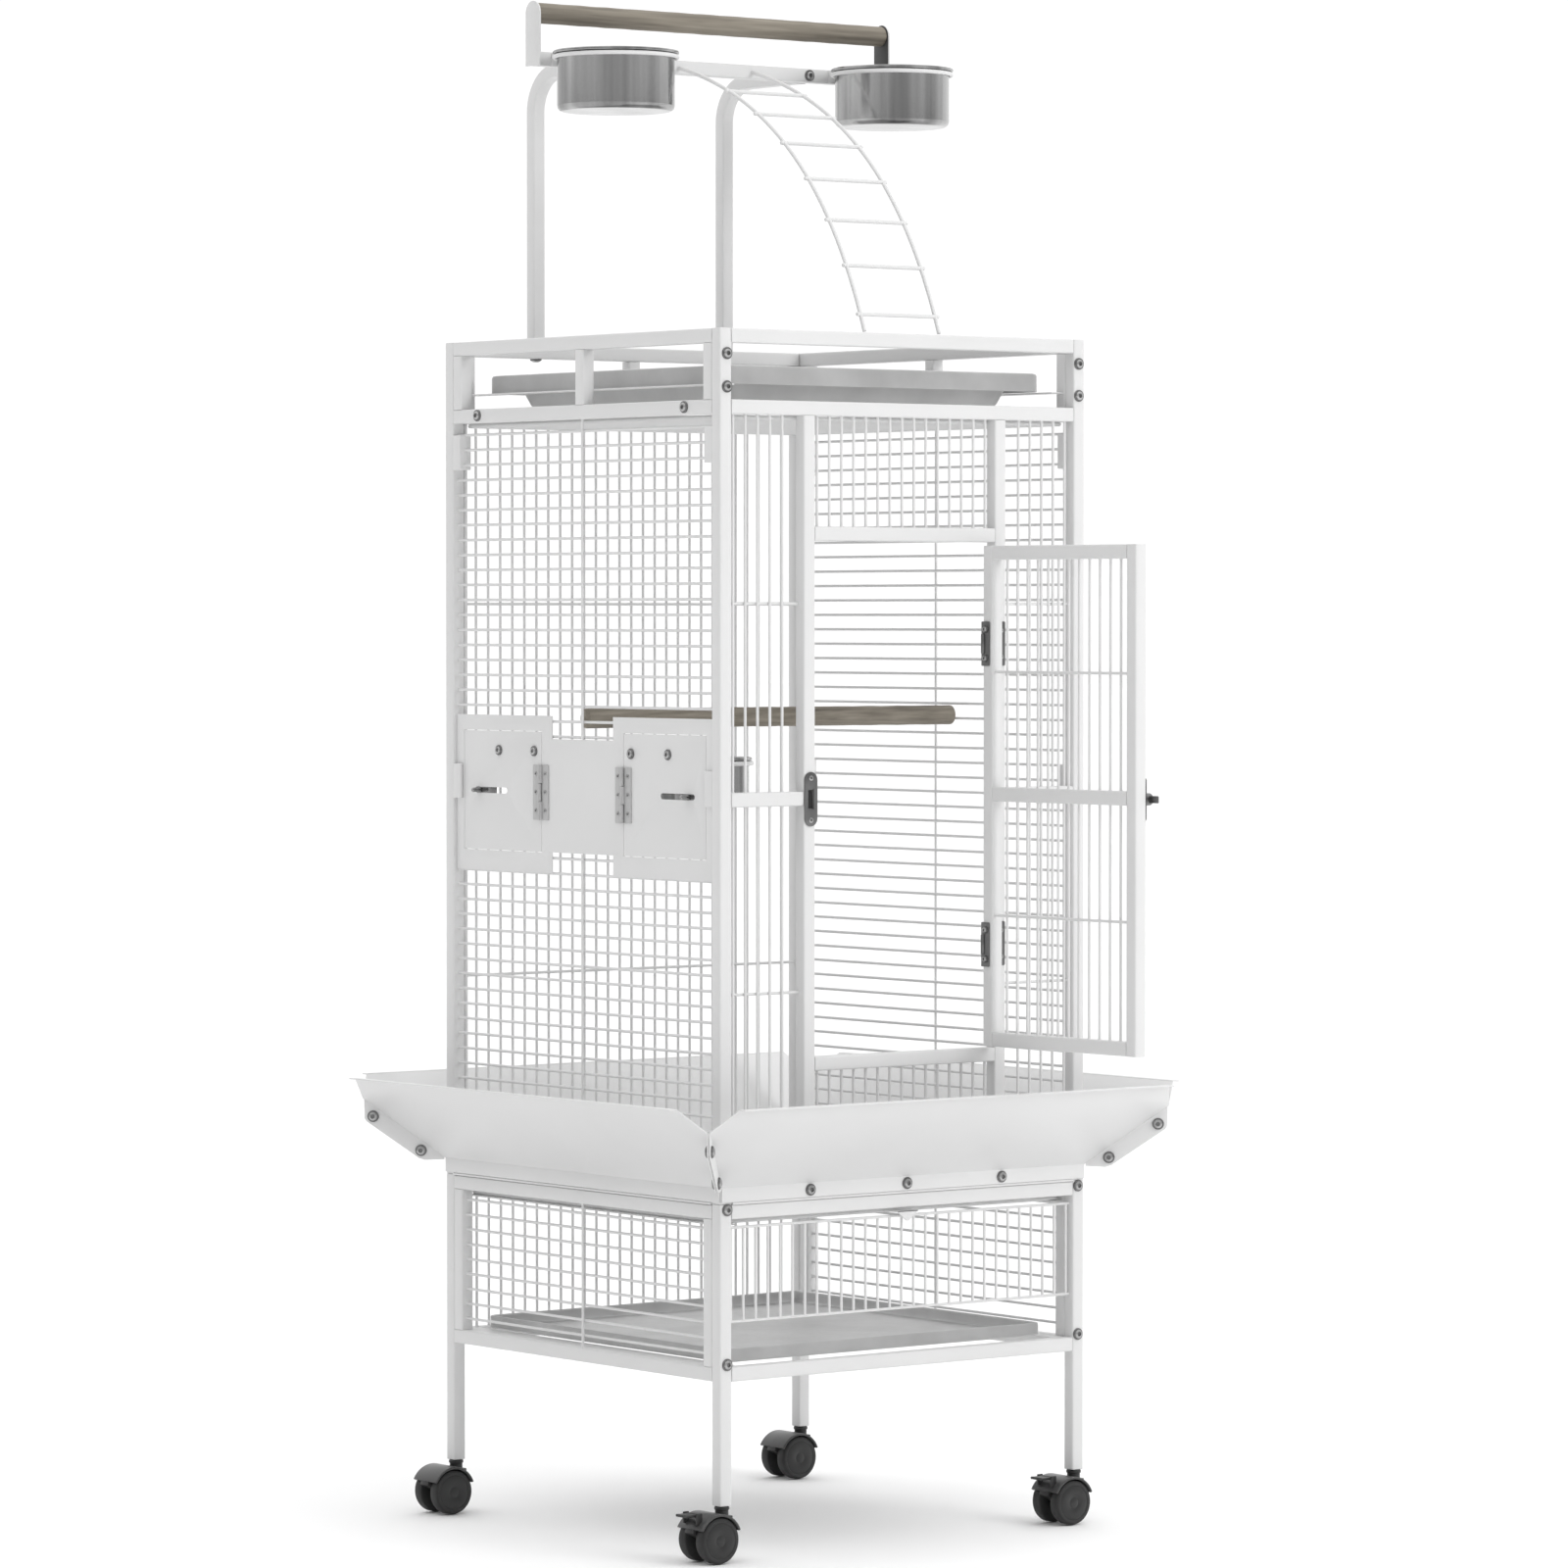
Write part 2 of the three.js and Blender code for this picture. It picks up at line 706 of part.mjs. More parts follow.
function ladderSolid() {
  const top = new THREE.Vector2(play.barFront - gap - 1, play.barBottom + 6);
  const bend = new THREE.Vector2(-143, 1413);
  const foot = new THREE.Vector2(-postCentre, cageTop + 1.5);
  const curve = new THREE.QuadraticBezierCurve(top, bend, foot);
  const length = curve.getLength();
  const parts = [];
  for (const [, sign] of sides) {
    const points = [top, bend, foot].map((p) => new THREE.Vector3(sign * ladder.half, p.x, p.y));
    const section = new THREE.Shape();
    section.absarc(0, 0, ladder.thick / 2, 0, Math.PI * 2);
    const geometry = new THREE.ExtrudeGeometry(section, {
      steps: ladder.steps,
      extrudePath: new THREE.QuadraticBezierCurve3(...points),
      curveSegments: 3,
    });
    parts.push(solidOf(geometry));
  }
  for (let k = 0; k < ladder.rungs; k += 1) {
    const p = curve.getPointAt((ladder.firstRung + k * ladder.rungPitch) / length);
    const reach = ladder.half + ladder.overhang;
    parts.push(bar([-reach, p.x, p.y], [reach, p.x, p.y], ladder.thick));
  }
  return join(parts);
}

addMesh("ladder", ladderSolid(), whitePaint);

// ---- Front door, in its own group about the hinge pin -------------------------------------------

const pin = { x: 112, y: -cageHalf - 4 };
const door = {
  width: 222,
  bottom: 486,
  top: 982,
  near: 4, // front face, from the pin
  midBottom: 729,
  stiffeners: [857, 616],
};
const hingeHeight = 44;
const hingeCentres = [
  ["top", 885],
  ["bottom", 587],
];
const knuckleRadius = 3;
const pinRadius = 1.2;

const doorSwing = new THREE.Group();
doorSwing.position.set(pin.x, pin.y, 0);
doorSwing.rotation.z = THREE.MathUtils.degToRad(doorAngle);
cage.add(doorSwing);

function doorSolid() {
  const { width, bottom, top, near, midBottom } = door;
  const far = near + tube;
  const beam = (x0, x1, z0, z1) => block([x0, near, z0], [x1, far, z1]);
  const middle = near + tube / 2;
  const columns = spaced(-tube - 14.6, -width + tube + 14.6);
  const bars = (z0, z1) =>
    columns.map((x) =>
      block(
        [x - wire / 2, middle - wire / 2, z0 - 1],
        [x + wire / 2, middle + wire / 2, z1 + 1],
      ),
    );
  const stiff = middle + wire / 2 + gap;
  return join([
    beam(-tube, 0, bottom, top),
    beam(-width, -width + tube, bottom, top),
    beam(-width + tube, -tube, bottom, bottom + tube),
    beam(-width + tube, -tube, top - tube, top),
    beam(-width + tube, -tube, midBottom, midBottom + tube),
    bars(bottom + tube, midBottom),
    bars(midBottom + tube, top - tube),
    door.stiffeners.map((z) =>
      block([-width + tube - 1, stiff, z - wire / 2], [-tube + 1, stiff + wire, z + wire / 2]),
    ),
  ]);
}

// The moving leaf wraps round the door's edge on to its inner face, about the pin at the origin.
function doorLeaf(centre) {
  const low = centre - hingeHeight / 2;
  const high = centre + hingeHeight / 2;
  const third = hingeHeight / 3;
  const edgeIn = 0.3;
  const edgeOut = 1.1;
  const inner = door.near + tube + gap;
  const knuckle = bar([0, 0, low + third + gap], [0, 0, high - third - gap], knuckleRadius * 2, 12);
  const bore = bar([0, 0, low], [0, 0, high], (pinRadius + 0.4) * 2, 12);
  return join([
    block([edgeIn, door.near - 0.4, low], [edgeOut, inner + 0.9, high]),
    block([-11, inner, low], [edgeOut, inner + 0.9, high]),
    block([edgeIn, 1.9, low + third + gap], [edgeOut, door.near, high - third - gap]),
    knuckle,
  ]).subtract(bore);
}

// The fixed leaf lies on the front of the jamb and carries the pin.
function jambLeaf(centre) {
  const low = centre - hingeHeight / 2;
  const high = centre + hingeHeight / 2;
  const third = hingeHeight / 3;
  const face = -cageHalf - gap;
  const neckX = pin.x + 1.5;
  const ends = [
    [low, low + third],
    [high - third, high],
  ];
  return join([
    block([pin.x + knuckleRadius + gap, face, low], [pin.x + 13.5, face - sheet, high]),
    ends.map(([z0, z1]) => [
      bar([pin.x, pin.y, z0], [pin.x, pin.y, z1], knuckleRadius * 2, 12),
      block([neckX, pin.y - 1, z0], [neckX + 2.5, face - 0.1, z1]),
    ]),
    bar([pin.x, pin.y, low + 1], [pin.x, pin.y, high - 1], pinRadius * 2, 8),
  ]);
}

addMesh("front_door", doorSolid(), whitePaint, doorSwing);
for (const [place, centre] of hingeCentres) {
  addMesh(`door_leaf_${place}`, doorLeaf(centre), darkMetal, doorSwing);
  addMesh(`jamb_leaf_${place}`, jambLeaf(centre), darkMetal);
}

// ---- Door latch and strike plate ------------------------------------------------------------------

const latch = {
  x: -door.width + tube / 2, // centre of the free stile, from the pin
  z: 735,
  face: door.near - gap, // the plate's back, on the door's outer face
};

function latchPlate() {
  return block(
    [latch.x - 6, latch.face, latch.z - 21],
    [latch.x + 6, latch.face - sheet, latch.z + 21],
  );
}

// The handle turns about a short boss, and its tongue reaches over the strike plate.
function latchHandle() {
  const back = latch.face - sheet - gap;
  const front = back - 9;
  return join([
    bar([latch.x, back, latch.z], [latch.x, front, latch.z], 12, 16),
    block([latch.x - 17, front + 3.4, latch.z - 3.5], [latch.x, front + 5.4, latch.z + 3.5]),
    block([latch.x - 3, front + 0.2, latch.z - 4], [latch.x + 30, front + 3, latch.z + 4]),
  ]);
}

function strikePlate() {
  const x = -120;
  const z = 734.5;
  const halfWidth = 8;
  const halfHeight = 26.5;
  const face = -cageHalf - gap;
  const shape = new THREE.Shape();
  const straight = halfHeight - halfWidth;
  shape.absarc(0, straight, halfWidth, 0, Math.PI, false);
  shape.absarc(0, -straight, halfWidth, Math.PI, Math.PI * 2, false);
  const plate = extrusion(shape, sheet, [1, 0, 0], [0, 0, 1], [x, face, z]);
  const slot = block([x - 3.5, face + 1, z - 9], [x + 1.5, face - 5, z + 9]);
  const catchRib = block([x + 2.5, face - sheet + 0.1, z - 10], [x + 6, face - 2.6, z + 10]);
  return plate.subtract(slot).add(catchRib);
}

addMesh("latch_plate", latchPlate(), darkMetal, doorSwing);
addMesh("latch_handle", latchHandle(), darkMetal, doorSwing);
addMesh("strike_plate", strikePlate(), darkMetal);

// ---- Feeder plate, its two flap doors, bolts, rings and cups ----------------------------------------

const feederCup = { x: -160, y: 111, rimTop: 774, body: 45, rim: 48, depth: 46 };
const boltSlot = { z: 737, height: 6, inner: 128, outer: 184 };

// A flat piece of the left side, given by its corners across the cage and up.
function feederSheet(y0, y1, z0, z1) {
  return block([-feeder.faceFar, y0, z0], [-feeder.faceNear, y1, z1]);
}

function feederPlate() {
  const { midHalf, doorInner, doorOuter, endBottom, endTop, midBottom, midTop } = feeder;
  const outer = postInner - gap;
  const whole = join([
    feederSheet(-midHalf - 1, midHalf + 1, midBottom, feeder.midPlateTop),
    sides.map(([, sign]) => feederSheet(sign * midHalf, sign * outer, endBottom, endTop)),
  ]);
  const windows = sides.map(([, sign]) =>
    block(
      [-feeder.faceFar - 1, sign * (doorInner - 0.5), midBottom - 0.5],
      [-feeder.faceNear + 1, sign * (doorOuter + 0.5), midTop + 0.5],
    ),
  );
  const plate = windows.reduce((left, window) => left.subtract(window), whole);
  return join([plate, feederLeaf(-1), feederLeaf(1)]);
}

const flapHinge = { x: -feeder.faceFar - 2.4, low: 709, high: 764, radius: 2 };

function feederDoor(sign) {
  const { doorInner, doorOuter, midBottom, midTop } = feeder;
  const flap = feederSheet(sign * doorInner, sign * doorOuter, midBottom, midTop);
  const slot = block(
    [-feeder.faceFar - 1, sign * boltSlot.inner, boltSlot.z - boltSlot.height / 2],
    [-feeder.faceNear + 1, sign * boltSlot.outer, boltSlot.z + boltSlot.height / 2],
  );
  const { x, low, high, radius } = flapHinge;
  const third = (high - low) / 3;
  const leaf = block(
    [-feeder.faceFar - sheet, sign * (doorInner + radius), low],
    [-feeder.faceFar + 0.1, sign * (doorInner + 13), high],
  );
  const knuckle = bar(
    [x, sign * doorInner, low + third + gap],
    [x, sign * doorInner, high - third - gap],
    radius * 2,
    10,
  );
  const neck = block(
    [x - 0.6, sign * (doorInner + 0.8), low + third + gap],
    [-feeder.faceFar, sign * (doorInner + radius + 1), high - third - gap],
  );
  return join([flap.subtract(slot), leaf, knuckle, neck]);
}

// The fixed leaf of a flap's hinge, welded to the plate, with the two end knuckles.
function feederLeaf(sign) {
  const { doorInner } = feeder;
  const { x, low, high, radius } = flapHinge;
  const third = (high - low) / 3;
  const ends = [
    [low, low + third],
    [high - third, high],
  ];
  const back = -feeder.faceFar + 0.1;
  const leafInner = sign * (doorInner - 13);
  return join([
    block([back - sheet, sign * (doorInner - radius - 0.4), low], [back, leafInner, high]),
    ends.map(([z0, z1]) => [
      bar([x, sign * doorInner, z0], [x, sign * doorInner, z1], radius * 2, 10),
      block([x - 0.6, sign * (doorInner - 0.8), z0], [back, sign * (doorInner - radius - 1), z1]),
    ]),
  ]);
}

function feederBolt(sign) {
  const face = -feeder.faceNear + gap;
  const strip = block(
    [face, sign * 150, boltSlot.z - 6],
    [face + 1.5, sign * (feeder.doorOuter - 0.5), boltSlot.z + 6],
  );
  const pegY = sign * 174.5;
  return strip.add(bar([face + 1, pegY, boltSlot.z], [-236, pegY, boltSlot.z], 4.6, 10));
}

function feederRing(sign) {
  const z = feederCup.rimTop - 3.5 - gap - holderWire / 2;
  const radius = feederCup.body + 0.5 + holderWire / 2;
  const y = sign * feederCup.y;
  const back = -feeder.faceNear + gap;
  const armSpread = 18;
  const armEnd = feederCup.x - Math.sqrt(radius ** 2 - armSpread ** 2) + 1;
  return join([
    ring(feederCup.x, y, z, radius, holderWire),
    block([back, sign * 75, z - 6], [back + sheet, sign * 148, z + 15]),
    [-armSpread, armSpread].map((dy) =>
      bar([back + 0.5, y + dy, z], [armEnd, y + dy, z], holderWire),
    ),
  ]);
}

addMesh("feeder_plate", feederPlate(), whitePaint);
for (const [place, sign] of [
  ["front", -1],
  ["rear", 1],
]) {
  const { x, y, rimTop, body, rim, depth } = feederCup;
  addMesh(`${place}_feeder_door`, feederDoor(sign), whitePaint);
  addMesh(`${place}_feeder_bolt`, feederBolt(sign), steel);
  addMesh(`${place}_feeder_ring`, feederRing(sign), whitePaint);
  addMesh(`${place}_feeder_cup`, cup(x, sign * y, rimTop, body, rim, depth), steel);
}

// ---- Casters -----------------------------------------------------------------------------------------

const caster = {
  wheelRadius: 22.5,
  wheelWidth: 12.5,
  wheelOffset: 14, // from the middle of the caster to each wheel's centre
  trail: 16, // the axle stands behind the stem, towards -X
  axleRadius: 3,
  stemRadius: 6.5,
  webHalf: 6.9,
};
// The brake pedal's pivot, behind and above the axle.
const pedal = { x: -caster.trail - 20, z: caster.wheelRadius + 25, half: 9 };

// The hood of one caster, with its stem on the origin's vertical line. A braked one has two ears.
function casterBody(hasBrake) {
  const { wheelRadius, trail, axleRadius, stemRadius, webHalf, wheelOffset, wheelWidth } = caster;
  const hoodIn = wheelRadius + 1;
  const hoodOut = wheelRadius + 3.5;
  const hoodHalf = wheelOffset + wheelWidth / 2;
  const crown = new THREE.Shape();
  crown.absarc(-trail, wheelRadius, hoodOut, Math.PI * 0.12, Math.PI * 0.85, false);
  crown.absarc(-trail, wheelRadius, hoodIn, Math.PI * 0.85, Math.PI * 0.12, true);
  const web = new THREE.Shape();
  web.absarc(-trail, wheelRadius, hoodOut - 0.5, Math.PI * 0.05, Math.PI * 0.9, false);
  web.absarc(-trail, wheelRadius, 9, Math.PI, Math.PI * 1.9, false);
  const across = (shape, half) => extrusion(shape, half * 2, [1, 0, 0], [0, 0, 1], [0, half, 0], 5);
  const bore = bar(
    [-trail, -webHalf - 1, wheelRadius],
    [-trail, webHalf + 1, wheelRadius],
    (axleRadius + 0.5) * 2,
    12,
  );
  const socket = block([-4, -webHalf, wheelRadius + 2], [9, webHalf, 44]);
  const ears = [-1, 1].map((end) =>
    block(
      [pedal.x - 3, end * (pedal.half + 0.4), pedal.z - 8.5],
      [pedal.x + 4, end * (pedal.half + 2.4), pedal.z + 2.5],
    ),
  );
  return join([
    hasBrake ? ears : [],
    across(crown, hoodHalf),
    across(web, webHalf),
    socket,
    bar([0, 0, 40], [0, 0, legBottom - gap], stemRadius * 2, 12),
  ]).subtract(bore);
}

function wheelPair() {
  const { wheelRadius, wheelWidth, wheelOffset, trail, axleRadius } = caster;
  const across = (y0, y1, radius, sides) =>
    bar([-trail, y0, wheelRadius], [-trail, y1, wheelRadius], radius * 2, sides);
  const half = wheelWidth / 2;
  return join([
    across(-wheelOffset, wheelOffset, axleRadius, 12),
    across(wheelOffset - half, wheelOffset + half, wheelRadius, 24),
    across(-wheelOffset - half, -wheelOffset + half, wheelRadius, 24),
  ]);
}

// The pedal stands out over the rear of the hood, on a short pivot bar.
function brakeLever() {
  const { x, z, half } = pedal;
  return join([
    bar([x, -half, z], [x, half, z], 4, 10),
    block([x - 13, -half, z - 1.5], [x, half, z + 1.5]),
  ]);
}

for (const [side, sign] of sides) {
  for (const [place, end] of [
    ["front", -1],
    ["rear", 1],
  ]) {
    const stand = new THREE.Group();
    stand.position.set(sign * postCentre, end * postCentre, 0);
    cage.add(stand);
    addMesh(`${place}_${side}_caster`, casterBody(end < 0), blackPlastic, stand);
    addMesh(`${place}_${side}_wheels`, wheelPair(), blackPlastic, stand);
    if (end < 0) addMesh(`${side}_brake_lever`, brakeLever(), blackPlastic, stand);
  }
}

// ---- Centre the footprint ------------------------------------------------------------------------------

const footprint = new THREE.Box3().setFromObject(cage);
const middle = footprint.getCenter(new THREE.Vector3());
cage.position.set(-middle.x, -middle.y, -footprint.min.z);

const root = new THREE.Group();
root.add(cage);

export default root;
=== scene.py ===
import math

import bmesh
import bpy
from mathutils import Matrix, Vector


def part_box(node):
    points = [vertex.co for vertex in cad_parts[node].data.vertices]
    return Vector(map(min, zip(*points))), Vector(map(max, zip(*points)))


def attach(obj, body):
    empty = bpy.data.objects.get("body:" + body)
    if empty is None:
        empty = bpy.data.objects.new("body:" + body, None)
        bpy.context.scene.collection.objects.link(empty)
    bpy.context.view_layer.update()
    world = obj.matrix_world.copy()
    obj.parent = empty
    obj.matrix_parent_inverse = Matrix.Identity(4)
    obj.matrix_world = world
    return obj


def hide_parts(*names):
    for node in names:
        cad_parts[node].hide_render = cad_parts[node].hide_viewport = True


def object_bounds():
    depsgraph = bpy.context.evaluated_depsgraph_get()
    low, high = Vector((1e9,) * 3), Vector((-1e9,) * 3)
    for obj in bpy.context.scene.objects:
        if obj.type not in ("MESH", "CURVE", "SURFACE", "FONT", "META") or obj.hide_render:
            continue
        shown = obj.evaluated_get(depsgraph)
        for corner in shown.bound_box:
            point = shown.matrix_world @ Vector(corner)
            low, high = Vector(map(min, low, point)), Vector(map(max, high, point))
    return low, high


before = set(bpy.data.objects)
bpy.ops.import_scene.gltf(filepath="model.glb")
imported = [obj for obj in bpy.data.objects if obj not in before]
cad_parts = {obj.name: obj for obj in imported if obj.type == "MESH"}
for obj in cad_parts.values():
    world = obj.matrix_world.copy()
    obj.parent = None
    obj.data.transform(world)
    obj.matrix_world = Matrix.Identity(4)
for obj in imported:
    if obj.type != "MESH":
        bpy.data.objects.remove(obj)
cad_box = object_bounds()

X_AXIS = Vector((1, 0, 0))
Y_AXIS = Vector((0, 1, 0))
Z_AXIS = Vector((0, 0, 1))

front_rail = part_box("front_top_rail")
back_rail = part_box("back_top_rail")
CENTRE_Y = (front_rail[0].y + back_rail[1].y) / 2
CAGE = Matrix.Translation((0, CENTRE_Y, 0)) @ Matrix.Scale(0.001, 4)

SIDES = (("left", -1), ("right", 1))

# ---- Driving dimensions, as in the CAD model ----

HALF = 230  # outside faces of the corner posts
TUBE = 14  # square tube of every frame
INNER = HALF - TUBE
MIDDLE = HALF - TUBE / 2
PITCH = 15.15  # centre to centre of the bars
WIRE = 1.4  # radius of the round bars
SHEET = 1.3  # thickness of the pressed steel pieces
GAP = 0.3  # between pieces that touch
SEAM_TOP = 347.2  # underside of the cage's rails and of the apron's flanges
SEAM_BOTTOM = 344.4  # top of the stand's rails
POST_SPLIT = 345.2  # where the cage's posts stand on the stand's legs
CAGE_TOP = 1189.4
BOX_FLOOR = 1121  # top face of the rails below the top tray
LEG_BOTTOM = 53.6
STAND_RAIL = 187.4  # top of the stand's lower rails
DOOR_ANGLE = 92  # how far the door stands open, in degrees

# ---- Camera ----

camera_data = bpy.data.cameras.new("camera")
camera_data.lens = 150.8
camera_data.sensor_width = 36
camera_data.clip_end = 100
camera = bpy.data.objects.new("camera", camera_data)
camera.location = (-4.0625, -5.2475 + CENTRE_Y, 0.9147)
camera.rotation_euler = (math.radians(90 - 1.485), 0, math.radians(-37.93))
bpy.context.scene.collection.objects.link(camera)
bpy.context.scene.camera = camera

# ---- Materials ----


def set_inputs(node, values):
    """Sets inputs by name, with _ for a space."""
    for socket, value in values.items():
        node.inputs[socket.replace("_", " ")].default_value = value


def add_node(tree, kind, **values):
    node = tree.nodes.new("ShaderNode" + kind)
    set_inputs(node, values)
    return node


def set_ramp(ramp, stops):
    while len(ramp.elements) < len(stops):
        ramp.elements.new(0.5)
    for element, (place, rgb) in zip(ramp.elements, stops):
        element.position = place
        element.color = (*rgb, 1)


class Finish:
    """A material built from procedural nodes, with its noise in the object's own metres."""

    def __init__(self, name, **inputs):
        self.material = bpy.data.materials.new(name)
        self.material.use_nodes = True
        self.tree = self.material.node_tree
        self.shader = self.tree.nodes["Principled BSDF"]
        self.coordinates = add_node(self.tree, "TexCoord").outputs["Object"]
        set_inputs(self.shader, inputs)

    def link(self, output, node, socket):
        self.tree.links.new(output, node.inputs[socket])

    def noise(self, scale, stretch=(1, 1, 1), detail=3.0):
        mapping = add_node(self.tree, "Mapping", Scale=stretch)
        self.link(self.coordinates, mapping, "Vector")
        node = add_node(self.tree, "TexNoise", Scale=scale, Detail=detail)
        self.link(mapping.outputs["Vector"], node, "Vector")
        return node.outputs["Fac"]

    def blended(self, first, second, share):
        node = add_node(self.tree, "Mix", Factor=share)
        self.link(first, node, "A")
        self.link(second, node, "B")
        return node.outputs["Result"]

    def colour(self, value, stops):
        node = add_node(self.tree, "ValToRGB")
        set_ramp(node.color_ramp, stops)
        self.link(value, node, "Fac")
        self.link(node.outputs["Color"], self.shader, "Base Color")

    def roughness(self, value, low, high):
        node = add_node(self.tree, "MapRange", From_Min=0.3, From_Max=0.7, To_Min=low, To_Max=high)
        self.link(value, node, "Value")
        self.link(node.outputs["Result"], self.shader, "Roughness")

    def bump(self, value, depth, strength):
        node = add_node(self.tree, "Bump", Strength=strength, Distance=depth)
        self.link(value, node, "Height")
        self.link(node.outputs["Normal"], self.shader, "Normal")
        return self


def grey(value):
    return (value, value, value)


def powder_coat(name, dark, light, low, high):
    """Baked powder coat: an even tone with a slow drift, and a fine orange peel."""
    finish = Finish(name, IOR=1.5)
    slow = finish.noise(9, detail=4)
    peel = finish.noise(700, detail=2)
    finish.colour(slow, ((0.25, dark), (0.75, light)))
    finish.roughness(finish.blended(slow, peel, 0.35), low, high)
    return finish.bump(peel, 0.00006, 0.6).material


def wood_finish():
    """Dry grey-brown dowel: long fibres along X, darker pores and a few broad bands."""
    finish = Finish("dry_wood", IOR=1.45)
    fibres = finish.noise(30, stretch=(0.35, 9, 9), detail=6)
    bands = finish.noise(14, stretch=(0.5, 3, 3), detail=2)
    tone = finish.blended(fibres, bands, 0.35)
    stops = (
        (0.28, (0.115, 0.100, 0.078)),
        (0.45, (0.205, 0.182, 0.148)),
        (0.58, (0.270, 0.243, 0.200)),
        (0.76, (0.360, 0.330, 0.280)),
    )
    finish.colour(tone, stops)
    finish.roughness(fibres, 0.62, 0.85)
    return finish.bump(fibres, 0.0004, 0.6).material


def metal(name, dark, light, low, high, fine=900, painted_reflection_stretch=(1, 1, 1), metallic=1.0):
    """Sheet or turned metal: slow changes of tone and a fine grain. Given a stretch, the slow tone
    is drawn out into long light and dark bands, which are painted reflections.
    """
    finish = Finish(name, Metallic=metallic)
    grain = finish.noise(fine, detail=3)
    cloud = finish.noise(18, stretch=painted_reflection_stretch, detail=4)
    finish.colour(cloud, ((0.3, dark), (0.7, light)))
    finish.roughness(finish.blended(cloud, grain, 0.6), low, high)
    return finish.bump(grain, 0.00002, 0.5).material


def plastic(name, dark, light, low, high):
    """Moulded plastic: a fine spark-eroded grain and slow changes of gloss."""
    finish = Finish(name, IOR=1.48)
    grain = finish.noise(1600, detail=2)
    cloud = finish.noise(40, detail=3)
    finish.colour(cloud, ((0.3, dark), (0.7, light)))
    finish.roughness(finish.blended(cloud, grain, 0.4), low, high)
    return finish.bump(grain, 0.00004, 0.5).material


MATERIALS = {
    "powder": powder_coat("white_powder_coat", grey(0.69), grey(0.72), 0.36, 0.50),
    "tray": metal("silver_tray", grey(0.46), grey(0.56), 0.36, 0.50, fine=160, metallic=0.4),
    "hinge": powder_coat("grey_hinge", grey(0.44), grey(0.48), 0.34, 0.46),
    "wood": wood_finish(),
    # The steel's wide range of tone, drawn out into upright bands, is painted reflection of the
    # studio's walls.
    "steel": metal(
        "stainless_steel", grey(0.13), grey(0.50), 0.10, 0.22, painted_reflection_stretch=(1.7, 1.7, 0.03)
    ),
    "zinc": metal("zinc_plate", grey(0.36), grey(0.50), 0.30, 0.46),
    "dark_metal": metal("dark_steel", grey(0.16), grey(0.22), 0.34, 0.48),
    "recess": plastic("recess_shadow", grey(0.012), grey(0.020), 0.6, 0.8),
    "hood": plastic("hood_plastic", grey(0.052), grey(0.064), 0.26, 0.38),
    "wheel": plastic("wheel_plastic", grey(0.020), grey(0.028), 0.36, 0.50),
    "tyre": plastic("tyre_plastic", grey(0.014), grey(0.020), 0.50, 0.65),
    "bracket": powder_coat("grey_bracket", grey(0.062), grey(0.078), 0.40, 0.52),
}

# ---- Mesh building ----


def basis(direction):
    """Two axes square to a direction, so that the first crossed with the second gives it."""
    along = direction.normalized()
    hint = X_AXIS if abs(along.z) > 0.9 else Z_AXIS
    first = (hint - along * hint.dot(along)).normalized()
    return first, along.cross(first), along


def circle(radius, count):
    turns = [math.tau * k / count for k in range(count)]
    return [(radius * math.cos(a), radius * math.sin(a)) for a in turns]


def rounded(width, height, radius, steps=3):
    """A rectangle with rounded corners about the origin."""
    points = []
    for cx, cy, start in ((1, 1, 0), (-1, 1, 90), (-1, -1, 180), (1, -1, 270)):
        x = cx * (width / 2 - radius)
        y = cy * (height / 2 - radius)
        for k in range(steps + 1):
            a = math.radians(start + 90 * k / steps)
            points.append((x + radius * math.cos(a), y + radius * math.sin(a)))
    return points


def spaced(first, last):
    """Places from first to last, as near to the bar pitch as divides the length evenly."""
    count = round(abs(last - first) / PITCH)
    return [first + (last - first) * k / count for k in range(count + 1)]


def arc(cx, cy, radius, start, end, steps):
    """Points on a circle in a plane, from one angle in degrees to another."""
    angles = [math.radians(start + (end - start) * k / steps) for k in range(steps + 1)]
    return [(cx + radius * math.cos(a), cy + radius * math.sin(a)) for a in angles]


